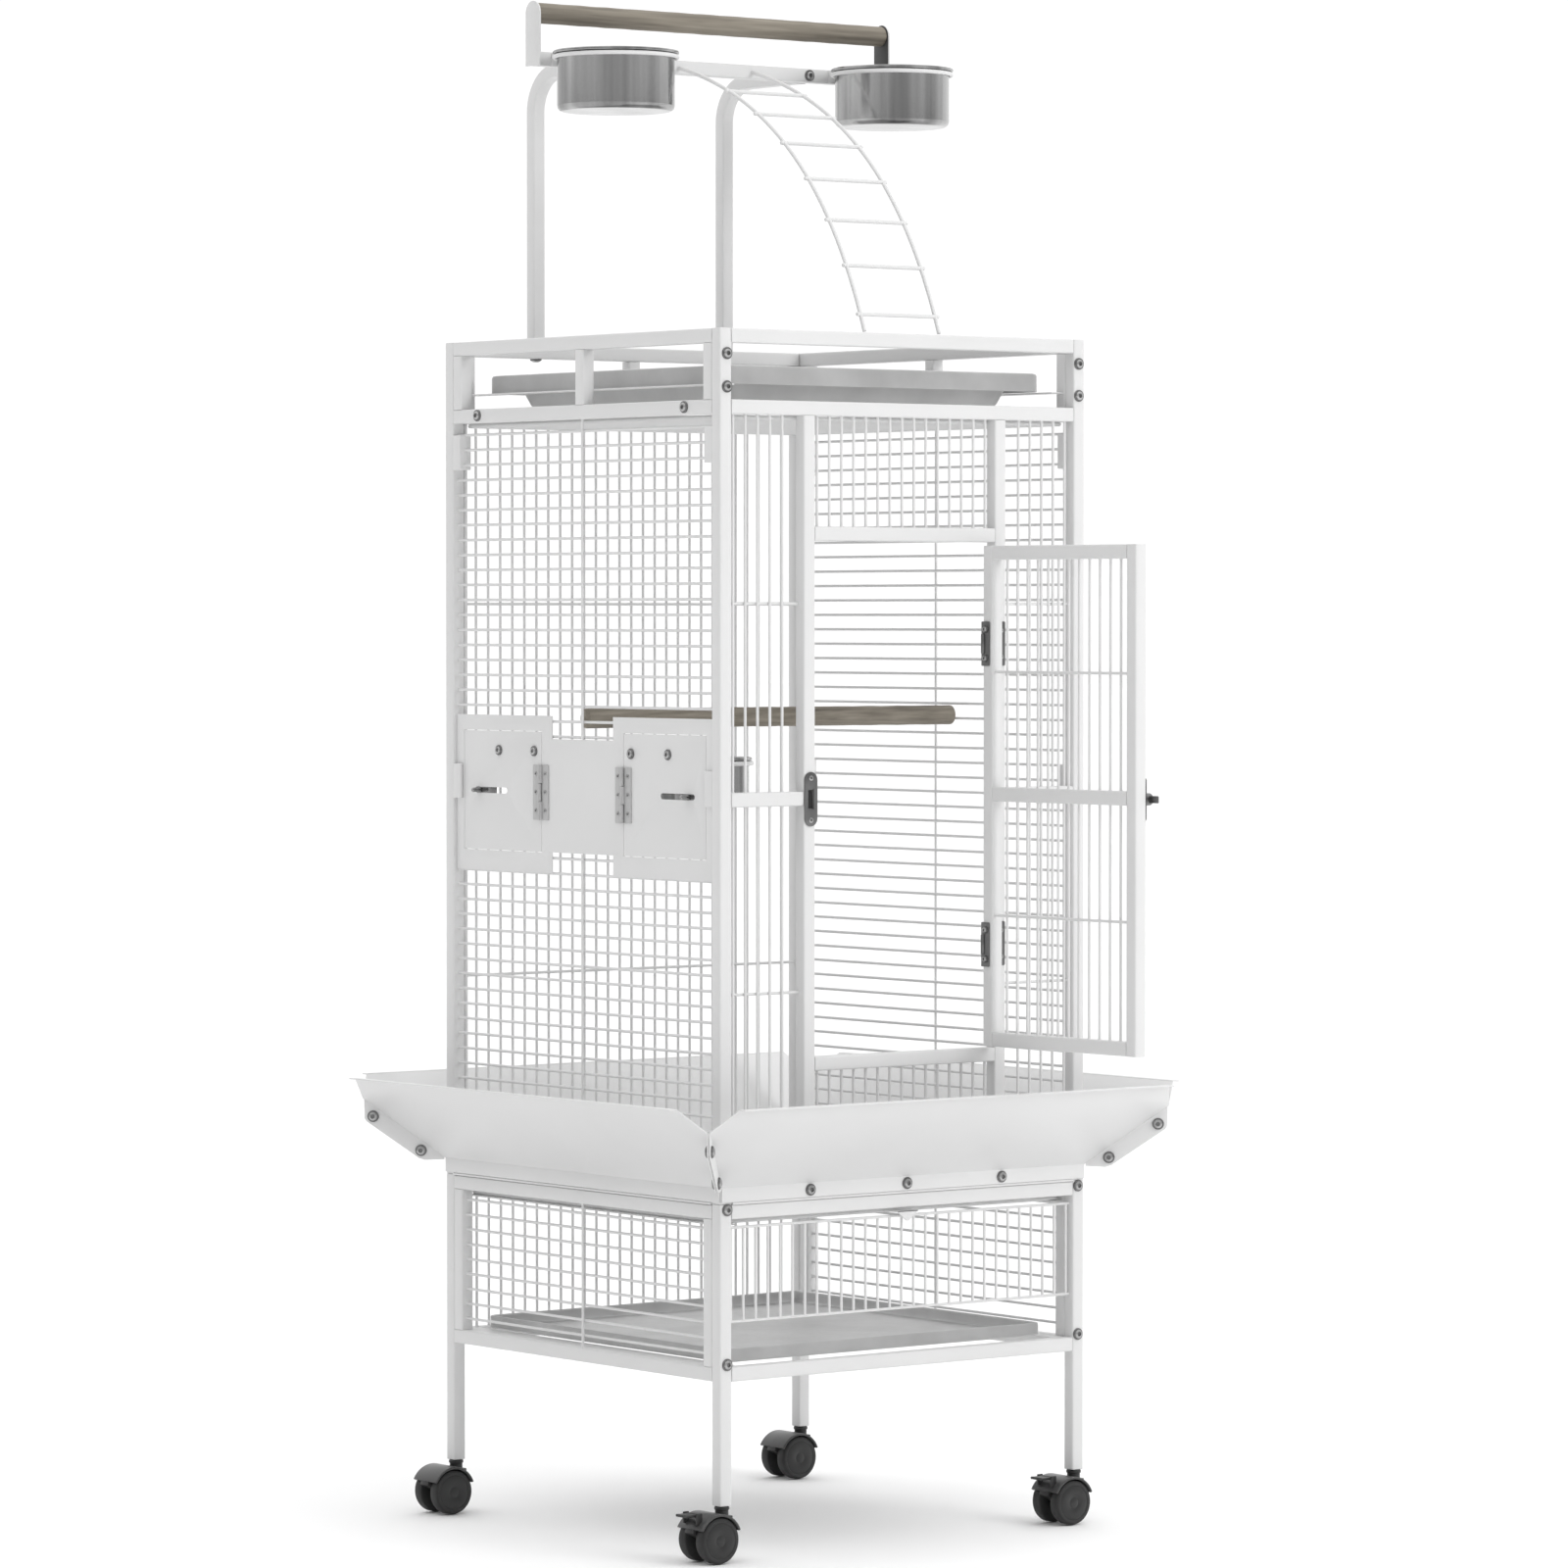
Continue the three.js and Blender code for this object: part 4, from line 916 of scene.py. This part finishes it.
def cup(name, x, y, rim_top, body, rim, depth):
    """A spun steel cup: rolled rim, straight wall, rounded foot and a flat base."""
    build = Build("steel")
    base = rim_top - depth
    inside = body - CUP_WALL
    profile = [(body - 8, base)]
    profile += arc(body - FOOT, base + FOOT, FOOT, -90, 0, 6)
    profile += [(body, rim_top - 7), (body + 0.4, rim_top - 5)]
    profile += arc(rim - BEAD, rim_top - BEAD, BEAD, -120, 90, 9)
    profile += [(body + 0.6, rim_top - 0.3), (inside, rim_top - 1.6), (inside, rim_top - 7)]
    profile += arc(inside - FOOT, base + FOOT + CUP_WALL, FOOT, 0, -90, 6)
    profile += [(body - 10, base + CUP_WALL)]
    build.turned(profile, (x, y, 0), Z_AXIS, 64)
    build.finish(f"{name}_bowl", name, "stainless", name)


HOLDER = 2.2  # radius of the wire of the cup rings
RING_DROP = 3.8  # from a cup's rim down to the top of its ring
STALK_X = 22  # from a ring's middle to each of its two stalks


def wire_ring(build, x, y, z, radius):
    path = [(x + a, y + b, z) for a, b in circle(radius, 48)]
    build.sweep(path, circle(HOLDER, 10), Z_AXIS, closed=True)


def top_cup_ring(side, sign):
    build = Build()
    x, y = sign * CUP_X, CUP_Y
    z = CUP_TOP - RING_DROP - HOLDER
    radius = 59 + HOLDER
    wire_ring(build, x, y, z, radius)
    back = BAR_FRONT - GAP
    outline = [(x + a, BAR_BOTTOM + TUBE / 2 + b) for a, b in rounded(60, TUBE, 2)]
    build.plate([outline], SHEET, (0, back, 0))
    start = y + math.sqrt(radius**2 - STALK_X**2)
    for dx in (-STALK_X, STALK_X):
        build.rod((x + dx, start, z), (x + dx, back - 0.6, z), HOLDER, weld=0.6)
    build.fixed(f"{side}_cup_ring_wire", f"{side}_cup_ring")


for side, sign in SIDES:
    top_cup_ring(side, sign)
    cup(f"{side}_cup", sign * CUP_X, CUP_Y, CUP_TOP, 58.5, 63, 60)


RUNGS = 7
FIRST_RUNG, RUNG_GAP = 88, 53.5  # measured down the ladder's rails
RAIL_X = 47
RUNG_HALF = 52


def ladder():
    """Two bowed rails with rungs across, from the crossbar down to the front rail."""
    build = Build()
    top, bend, foot = Vector((77.7, 1467)), Vector((-143, 1413)), Vector((-MIDDLE, 1190.9))
    steps = 60

    def at(t):
        return top * (1 - t) ** 2 + bend * 2 * t * (1 - t) + foot * t * t

    curve = [at(k / steps) for k in range(steps + 1)]
    for _, sign in SIDES:
        path = [(sign * RAIL_X, p.x, p.y) for p in curve]
        build.sweep(path, circle(2, 10), X_AXIS)
    travelled = [0.0]
    for a, b in zip(curve, curve[1:]):
        travelled.append(travelled[-1] + (b - a).length)
    rung = [(1.2, 0), (2, 0.8), (2, 2 * RUNG_HALF - 0.8), (1.2, 2 * RUNG_HALF)]
    for k in range(RUNGS):
        wanted = FIRST_RUNG + RUNG_GAP * k
        i = max(n for n, length in enumerate(travelled) if length <= wanted)
        share = (wanted - travelled[i]) / (travelled[i + 1] - travelled[i])
        p = curve[i].lerp(curve[i + 1], share)
        build.turned(rung, (-RUNG_HALF, p.x, p.y), X_AXIS, 10)
    build.fixed("ladder_wire", "ladder")


ladder()

# ---- Front door ----

PIN = Vector((112, -HALF - 4, 0))  # the hinge pins' line, at the floor
DOOR = CAGE @ Matrix.Translation(PIN) @ Matrix.Rotation(math.radians(DOOR_ANGLE), 4, "Z")
WIDTH = 222
NEAR, FAR = 4, 4 + TUBE
DOOR_BOTTOM, DOOR_TOP, DOOR_MID = 486, 982, 729
DOOR_ROWS = (857, 616)
DOOR_MARGIN = 14.6  # from the side tubes to the first and last bar
HINGES = (("top", 885), ("bottom", 587))
HINGE_LENGTH = 44
KNUCKLE = HINGE_LENGTH / 3


def door():
    tubes, bars = Build(place=DOOR), Build(place=DOOR)
    for x0, x1, z0, z1 in (
        (-TUBE, 0, DOOR_BOTTOM, DOOR_TOP),
        (-WIDTH, -WIDTH + TUBE, DOOR_BOTTOM, DOOR_TOP),
        (-WIDTH + TUBE, -TUBE, DOOR_BOTTOM, DOOR_BOTTOM + TUBE),
        (-WIDTH + TUBE, -TUBE, DOOR_TOP - TUBE, DOOR_TOP),
        (-WIDTH + TUBE, -TUBE, DOOR_MID, DOOR_MID + TUBE),
    ):
        tubes.beam((x0, NEAR, z0), (x1, FAR, z1))
    middle = NEAR + TUBE / 2
    for x in spaced(-TUBE - DOOR_MARGIN, -WIDTH + TUBE + DOOR_MARGIN):
        bars.rod((x, middle, DOOR_BOTTOM + TUBE), (x, middle, DOOR_MID), weld=WELD)
        bars.rod((x, middle, DOOR_MID + TUBE), (x, middle, DOOR_TOP - TUBE), weld=WELD)
    for z in DOOR_ROWS:
        y = middle + 2 * WIRE - 0.1
        bars.rod((-WIDTH + TUBE, y, z), (-TUBE, y, z), weld=WELD)
    tubes.finish("door_frame_tube", "front_door", "white_paint", "front_door")
    bars.finish("door_bars", "front_door", "white_paint")


def hinge(place, centre):
    """One door hinge: a leaf folded round the door's tube and a flat one on the jamb."""
    low, high = centre - HINGE_LENGTH / 2, centre + HINGE_LENGTH / 2
    moving = Build("dark_metal", DOOR)
    inner = FAR + GAP
    edge = [(y + 11.4, centre + z) for y, z in rounded(15.6, HINGE_LENGTH, 0.6)]
    moving.plate([edge], 0.8, (GAP, 0, 0), Y_AXIS, Z_AXIS, ease=0.2)
    face = [(x + 4.95, centre + z) for x, z in rounded(12.1, HINGE_LENGTH, 1.6)]
    moving.plate([face], 0.9, (0, inner, 0), -X_AXIS, Z_AXIS, ease=0.2)
    z0, z1 = low + KNUCKLE + GAP, high - KNUCKLE - GAP
    moving.turned([(1.7, z0), (3, z0 + 0.3), (3, z1 - 0.3), (1.7, z1)], (0, 0, 0), Z_AXIS, 20)
    moving.beam((GAP, 1.9, z0), (1.1, NEAR, z1), 0.2)
    barrel = [(1.6, -10), (2.2, -9.2), (2.2, 9.2), (1.6, 10)]
    moving.turned(barrel, (-1.6, inner + 0.9, centre), Z_AXIS, 16)
    for dz in (-14.4, 14.4):
        moving.bolt((-5.6, inner + 0.9, centre + dz), Y_AXIS, 3.6)
    moving.finish(f"door_leaf_{place}_plate", "front_door", "dark_metal", f"door_leaf_{place}")
    fixed = Build("dark_metal")
    front = -HALF - GAP
    leaf = [(120.4 + x, centre + z) for x, z in rounded(10.2, HINGE_LENGTH, 1.6)]
    fixed.plate([leaf], SHEET, (0, front, 0))
    for z0, z1 in ((low, low + KNUCKLE), (high - KNUCKLE, high)):
        fixed.turned([(2.5, z0), (3, z0 + 0.5), (3, z1 - 0.5), (2.5, z1)], PIN, Z_AXIS, 20)
        fixed.beam((113.5, PIN.y - 1, z0 + 0.2), (116, front - 0.1, z1 - 0.2), 0.4)
    pin = [(0.9, low + 0.6), (1.2, low + 1), (1.2, high - 1), (0.9, high - 0.6)]
    fixed.turned(pin, PIN, Z_AXIS, 12)
    for dz in (-13, 13):
        fixed.screw((120.8, front - SHEET, centre + dz), -Y_AXIS)
    fixed.finish(f"jamb_leaf_{place}_plate", "frame", "dark_metal", f"jamb_leaf_{place}")


def latch():
    """The plate on the door's free edge and the handle that turns on it."""
    x, z = -WIDTH + TUBE / 2, 735
    face = NEAR - GAP
    plate = Build("dark_metal", DOOR)
    outline = [(x + a, z + b) for a, b in rounded(12, 42, 2.5)]
    plate.plate([outline], SHEET, (0, face, 0))
    for dz in (-15, 15):
        plate.screw((x, face - SHEET, z + dz), -Y_AXIS)
    plate.finish("latch_plate_sheet", "front_door", "dark_metal", "latch_plate")
    handle = Build("dark_metal", DOOR)
    back = face - SHEET - GAP
    front = back - 9
    arm = front + 1.6
    profile = [(5.4, 0), (6, 0.6), (6, 8.4), (5.4, 9), (2.4, 9), (2.2, 8.4)]
    # The boss ends in a shallow recess whose near-black floor is painted shade.
    handle.turned(profile, (x, back, z), -Y_AXIS, 24, last_cap="recess")
    handle.paint("dark_metal")
    handle.beam((x - 17, front + 3.4, z - 3.5), (x, front + 5.4, z + 3.5), 0.7)
    path = [(x + along, arm, z) for along in (-3, 4, 18, 26, 30)]
    handle.sweep(path, rounded(7.8, 2.6, 1.1), Z_AXIS)
    handle.finish("latch_handle_lever", "latch_handle", "dark_metal", "latch_handle")


def strike_plate():
    x, z = -120, 734.5
    build = Build("dark_metal")
    face = -HALF - GAP
    outline = arc(x, z + 18.5, 8, 0, 180, 12) + arc(x, z - 18.5, 8, 180, 360, 12)
    slot = [(x - 3.5, z - 9), (x - 3.5, z + 9), (x + 1.5, z + 9), (x + 1.5, z - 9)]
    build.plate([outline, slot], SHEET, (0, face, 0))
    build.beam((x + 2.5, face - SHEET + 0.2, z - 10), (x + 6, face - 2.6, z + 10), 0.5)
    for dz in (-20.5, 20.5):
        build.screw((x, face - SHEET, z + dz), -Y_AXIS, 2.6)
    # A thin near-black sheet just behind the slot is painted shade, for the dark seen through the
    # slot.
    build.paint("recess")
    build.beam((x - 3.4, face - 0.15, z - 8.8), (x + 1.4, face - 0.05, z + 8.8), 0.04)
    build.finish("strike_plate_sheet", "frame", "dark_metal", "strike_plate")


door()
for place, centre in HINGES:
    hinge(place, centre)
latch()
strike_plate()

# ---- Feeder ----

FLAP_IN, FLAP_OUT = 69, 202  # from the middle of the side to a flap's two edges
SLOT_Z = 737
FLAP_PIN_X = -PLATE_FAR - 2.4
FLAP_LOW, FLAP_HIGH = 709, 764  # ends of a flap's hinge
THIRD = (FLAP_HIGH - FLAP_LOW) / 3
SHOULDER, PLATE_LOW, PLATE_HIGH = 51, 656, 813  # outline of the feeder plate
FEEDER_STALK = 18  # from a ring's middle to each of its two stalks


def side_plate(build, outlines, thickness=SHEET, near=PLATE_NEAR, ease=0.3):
    """A sheet in the plane of the left side, from outlines of (y, z)."""
    shapes = [[(-y, z) for y, z in outline] for outline in outlines]
    build.plate(shapes, thickness, (-near, 0, 0), -Y_AXIS, Z_AXIS, ease)


def box_outline(y0, y1, z0, z1, radius=1.0):
    cy, cz = (y0 + y1) / 2, (z0 + z1) / 2
    return [(cy + a, cz + b) for a, b in rounded(abs(y1 - y0), z1 - z0, radius)]


def feeder_plate():
    build = Build()
    half = [
        (SHOULDER, PLATE_BOTTOM),
        (SHOULDER, PLATE_LOW),
        (REACH, PLATE_LOW),
        (REACH, PLATE_HIGH),
        (SHOULDER, PLATE_HIGH),
        (SHOULDER, PLATE_TOP),
    ]
    outline = half + [(-y, z) for y, z in reversed(half)]
    windows = [
        box_outline(s * (FLAP_IN - 0.5), s * (FLAP_OUT + 0.5), PLATE_BOTTOM - 0.5, FLAP_TOP + 0.5)
        for s in (-1, 1)
    ]
    side_plate(build, [outline, *windows])
    knuckles = ((FLAP_LOW, FLAP_LOW + THIRD), (FLAP_HIGH - THIRD, FLAP_HIGH))
    for sign in (-1, 1):
        hinge_leaf(build, sign, -1, knuckles)
    build.fixed("feeder_plate_sheet", "feeder_plate")


def knuckle(build, sign, z0, z1, way):
    """One knuckle of a flap's hinge and the neck that joins it to its leaf."""
    build.paint("hinge")
    profile = [(1.5, z0), (2, z0 + 0.4), (2, z1 - 0.4), (1.5, z1)]
    build.turned(profile, (FLAP_PIN_X, sign * FLAP_IN, 0), Z_AXIS, 14)
    y0, y1 = sign * (FLAP_IN + way * 0.8), sign * (FLAP_IN + way * 3)
    build.beam((FLAP_PIN_X - 0.6, y0, z0 + 0.2), (-PLATE_FAR + 0.1, y1, z1 - 0.2), 0.4)


def hinge_leaf(build, sign, way, knuckles):
    """One leaf of a flap's hinge, on the flap's side of the pin where way is 1."""
    build.paint("hinge")
    near, far = sign * (FLAP_IN + way * 2.4), sign * (FLAP_IN + way * 13)
    leaf = box_outline(near, far, FLAP_LOW, FLAP_HIGH, 0.8)
    side_plate(build, [leaf], near=PLATE_FAR - 0.1, ease=0.2)
    for z0, z1 in knuckles:
        knuckle(build, sign, z0, z1, way)
    for z in (FLAP_LOW + 9, (FLAP_LOW + FLAP_HIGH) / 2, FLAP_HIGH - 9):
        build.screw((0.1 - PLATE_FAR - SHEET, sign * (FLAP_IN + way * 8), z), -X_AXIS, 2.6)


def feeder_door(place, sign):
    body = f"{place}_feeder_door"
    build = Build()
    flap = box_outline(sign * FLAP_IN, sign * FLAP_OUT, PLATE_BOTTOM, FLAP_TOP, 1.5)
    slot = box_outline(sign * 128, sign * 184, SLOT_Z - 3, SLOT_Z + 3, 2.9)
    side_plate(build, [flap, slot])
    hinge_leaf(build, sign, 1, ((FLAP_LOW + THIRD + GAP, FLAP_HIGH - THIRD - GAP),))
    for y in (81, 141.5):
        build.bolt((-PLATE_FAR, sign * y, 777.5), -X_AXIS, 5.2)
    build.finish(f"{place}_flap_sheet", body, "white_paint", body)
    bolt = Build("steel")
    face = GAP - PLATE_NEAR
    strip = box_outline(sign * 150, sign * (FLAP_OUT - 0.5), SLOT_Z - 6, SLOT_Z + 6, 1.2)
    side_plate(bolt, [strip], 1.5, near=PLATE_NEAR - 1.8, ease=0.25)
    length = 237 + face
    peg = [(2.3, 0), (2.3, length - 0.6), (1.7, length)]
    bolt.turned(peg, (face + 1, sign * 174.5, SLOT_Z), -X_AXIS, 16)
    bolt_name = f"{place}_feeder_bolt"
    bolt.finish(f"{place}_bolt_strip", bolt_name, "stainless", bolt_name)
    holder = Build()
    z = FEEDER_CUP_TOP - RING_DROP - HOLDER
    radius = 45.5 + HOLDER
    y = sign * FEEDER_CUP_Y
    wire_ring(holder, FEEDER_CUP_X, y, z, radius)
    tab = box_outline(sign * 75, sign * 148, z - 6, z + 15, 2)
    side_plate(holder, [tab], near=PLATE_NEAR - GAP - SHEET)
    stop = FEEDER_CUP_X - math.sqrt(radius**2 - FEEDER_STALK**2)
    for dy in (-FEEDER_STALK, FEEDER_STALK):
        holder.rod((face + 0.6, y + dy, z), (stop, y + dy, z), HOLDER, weld=0.5)
    holder.finish(f"{place}_cup_holder", body, "white_paint", f"{place}_feeder_ring")
    cup(f"{place}_feeder_cup", FEEDER_CUP_X, y, FEEDER_CUP_TOP, 45, 48, 46)


feeder_plate()
for place, sign in (("front", -1), ("rear", 1)):
    feeder_door(place, sign)

# ---- Casters ----

WHEEL = 22.5  # radius of the wheels
TRAIL = 16  # from the stem's line back to the axle
WEB_HALF = 6.9  # half the thickness of the web between the wheels
PEDAL_X, PEDAL_Z = -TRAIL - 20, WHEEL + 25
NECK = ((6.5, 40), (6.5, 49.5), (7.4, 50.2), (7.4, 52.2), (6.6, 53.2))
TYRE = ((20.4, 7.75), (21.9, 8.5), (22.45, 10), (22.45, 17.4), (21.9, 18.9), (20.6, 19.8))
DISC_EDGE = ((20.6, 18.5), (20.6, 19.6), (20.2, 20.1), (18.2, 20.25), (17.6, 19.8), (17, 19.75))
DISC_MIDDLE = ((16.4, 20.1), (6.2, 20.2), (5.8, 19.9), (5.2, 19.9), (4.8, 20.2))


def caster(side, sign, place, end):
    """A hooded twin-wheel caster on its own post. The front ones have a brake pedal."""
    where = CAGE @ Matrix.Translation((sign * MIDDLE, end * MIDDLE, 0))
    name = f"{place}_{side}"
    hood = Build("hood", where)
    crown = [(x, 0, z) for x, z in arc(-TRAIL, WHEEL, WHEEL + 2.25, 22, 153, 26)]
    hood.sweep(crown, rounded(40.4, 2.5, 1.1), Y_AXIS)
    hood.paint("wheel")
    web = arc(-TRAIL, WHEEL, WHEEL + 3, 9, 162, 22) + arc(-TRAIL, WHEEL, 9, 180, 342, 14)
    hood.plate([web], 2 * WEB_HALF, (0, WEB_HALF, 0), ease=0.8)
    hood.beam((-4, -WEB_HALF, WHEEL + 2), (9, WEB_HALF, 44), 2)
    hood.turned(NECK, (0, 0, 0), Z_AXIS, 28)
    if end < 0:
        for way in (-1, 1):
            low = (PEDAL_X - 3, way * 9.4, PEDAL_Z - 8.5)
            high = (PEDAL_X + 4, way * 11.4, PEDAL_Z + 2.5)
            hood.beam(low, high, 0.9)
    hood.finish(f"{name}_hood", f"{name}_caster", "black_plastic", f"{name}_caster")
    wheels = Build("tyre", where)
    wheels.rod((-TRAIL, -14, WHEEL), (-TRAIL, 14, WHEEL), 3, 16)
    for way in (-1, 1):
        for paint, profile in (("tyre", TYRE), ("wheel", DISC_EDGE + DISC_MIDDLE)):
            wheels.paint(paint)
            wheels.turned(profile, (-TRAIL, 0, WHEEL), Y_AXIS * way, 48)
    wheels.finish(f"{name}_wheel_pair", f"{name}_wheels", "black_plastic", f"{name}_wheels")
    if end < 0:
        pedal = Build("wheel", where)
        pedal.rod((PEDAL_X, -9, PEDAL_Z), (PEDAL_X, 9, PEDAL_Z), 2, 14)
        stations = ((0, 0), (-4, 0.1), (-8.5, -0.1), (-13, 0.1))
        path = [(PEDAL_X + x, 0, PEDAL_Z + z) for x, z in stations]
        pedal.sweep(path, rounded(17.8, 2.6, 1.2), Y_AXIS)
        lever = f"{side}_brake_lever"
        pedal.finish(f"{side}_brake_pedal", lever, "black_plastic", lever)


for side, sign in SIDES:
    for place, end in (("front", -1), ("rear", 1)):
        caster(side, sign, place, end)

# ---- Frame bolts ----


POST_BOLT_X = 222
POST_BOLT_ROWS = (1165, 1133, 340, 190.4)
SIDE_BOLT_Y, SIDE_BOLT_Z = 173, 1114.5


def frame_bolts():
    """The bolts that hold the cage, the stand and the play top together."""
    build = Build("zinc")
    for _, sign in SIDES:
        for z in POST_BOLT_ROWS:
            build.bolt((sign * POST_BOLT_X, -HALF, z), -Y_AXIS)
            build.bolt((sign * POST_BOLT_X, HALF, z), Y_AXIS)
        for y in (-SIDE_BOLT_Y, SIDE_BOLT_Y):
            build.bolt((sign * HALF, y, SIDE_BOLT_Z), X_AXIS * sign)
        build.bolt((sign * ARCH_X, BAR_FRONT, 1468), -Y_AXIS)
        build.bolt((sign * ARCH_X, MIDDLE, CAGE_TOP - TUBE), -Z_AXIS)
    build.finish("frame_bolts", "frame", "dark_metal")


frame_bolts()

# ---- Floor and light ----

# How bright the studio is, by degrees from +X towards +Y, and its ceiling.
WALLS = (
    (-180, 0.24),
    (-168, 0.18),
    (-130, 0.44),
    (-95, 0.36),
    (-60, 0.22),
    (-20, 0.75),
    (15, 1.06),
    (90, 1.06),
    (128, 0.62),
    (160, 0.34),
    (180, 0.24),
)
CEILING = 1.42


def make_floor():
    build = bmesh.new()
    bmesh.ops.create_circle(build, cap_ends=True, radius=80, segments=96)
    data = bpy.data.meshes.new("floor")
    build.to_mesh(data)
    build.free()
    paper = Finish("floor_paper", Base_Color=(*grey(0.94), 1), Roughness=0.9)
    data.materials.append(paper.material)
    floor = bpy.data.objects.new("floor", data)
    floor.location.z = cad_box[0].z - 0.0005
    bpy.context.scene.collection.objects.link(floor)


def make_light(name, place, aim, size, power):
    """A round soft light, kept out of what the bright metal mirrors."""
    data = bpy.data.lights.new(name, "AREA")
    data.shape = "DISK"
    data.size = size
    data.energy = power
    lamp = bpy.data.objects.new(name, data)
    lamp.visible_glossy = False
    lamp.location = place
    lamp.rotation_euler = (Vector(place) - Vector(aim)).to_track_quat("Z", "Y").to_euler()
    bpy.context.scene.collection.objects.link(lamp)


def make_world():
    """A pale studio whose walls fall off to either side of the camera, under a bright ceiling."""
    world = bpy.data.worlds.new("studio")
    world.use_nodes = True
    bpy.context.scene.world = world
    tree = world.node_tree
    background = tree.nodes["Background"]
    background.inputs["Strength"].default_value = CEILING
    direction = add_node(tree, "TexCoord").outputs["Generated"]
    split = add_node(tree, "SeparateXYZ")
    tree.links.new(direction, split.inputs["Vector"])
    azimuth = add_node(tree, "Math")
    azimuth.operation = "ARCTAN2"
    tree.links.new(split.outputs["Y"], azimuth.inputs[0])
    tree.links.new(split.outputs["X"], azimuth.inputs[1])
    around = add_node(tree, "MapRange", From_Min=-math.pi, From_Max=math.pi)
    tree.links.new(azimuth.outputs["Value"], around.inputs["Value"])
    walls = add_node(tree, "ValToRGB")
    walls.color_ramp.interpolation = "EASE"
    stops = [((degrees + 180) / 360, grey(radiance / CEILING)) for degrees, radiance in WALLS]
    set_ramp(walls.color_ramp, stops)
    tree.links.new(around.outputs["Result"], walls.inputs["Fac"])
    rise = add_node(tree, "MapRange", From_Min=0.35, From_Max=0.75)
    tree.links.new(split.outputs["Z"], rise.inputs["Value"])
    mix = add_node(tree, "Mix")
    mix.data_type = "RGBA"
    mix.inputs["B"].default_value = (1, 1, 1, 1)
    tree.links.new(rise.outputs["Result"], mix.inputs["Factor"])
    tree.links.new(walls.outputs["Color"], mix.inputs["A"])
    tree.links.new(mix.outputs["Result"], background.inputs["Color"])


make_floor()
make_world()
make_light("key", place=(1.6, -4.4, 2.6), aim=(0, 0, 0.8), size=2.4, power=75)
bpy.context.scene.view_settings.view_transform = "Standard"
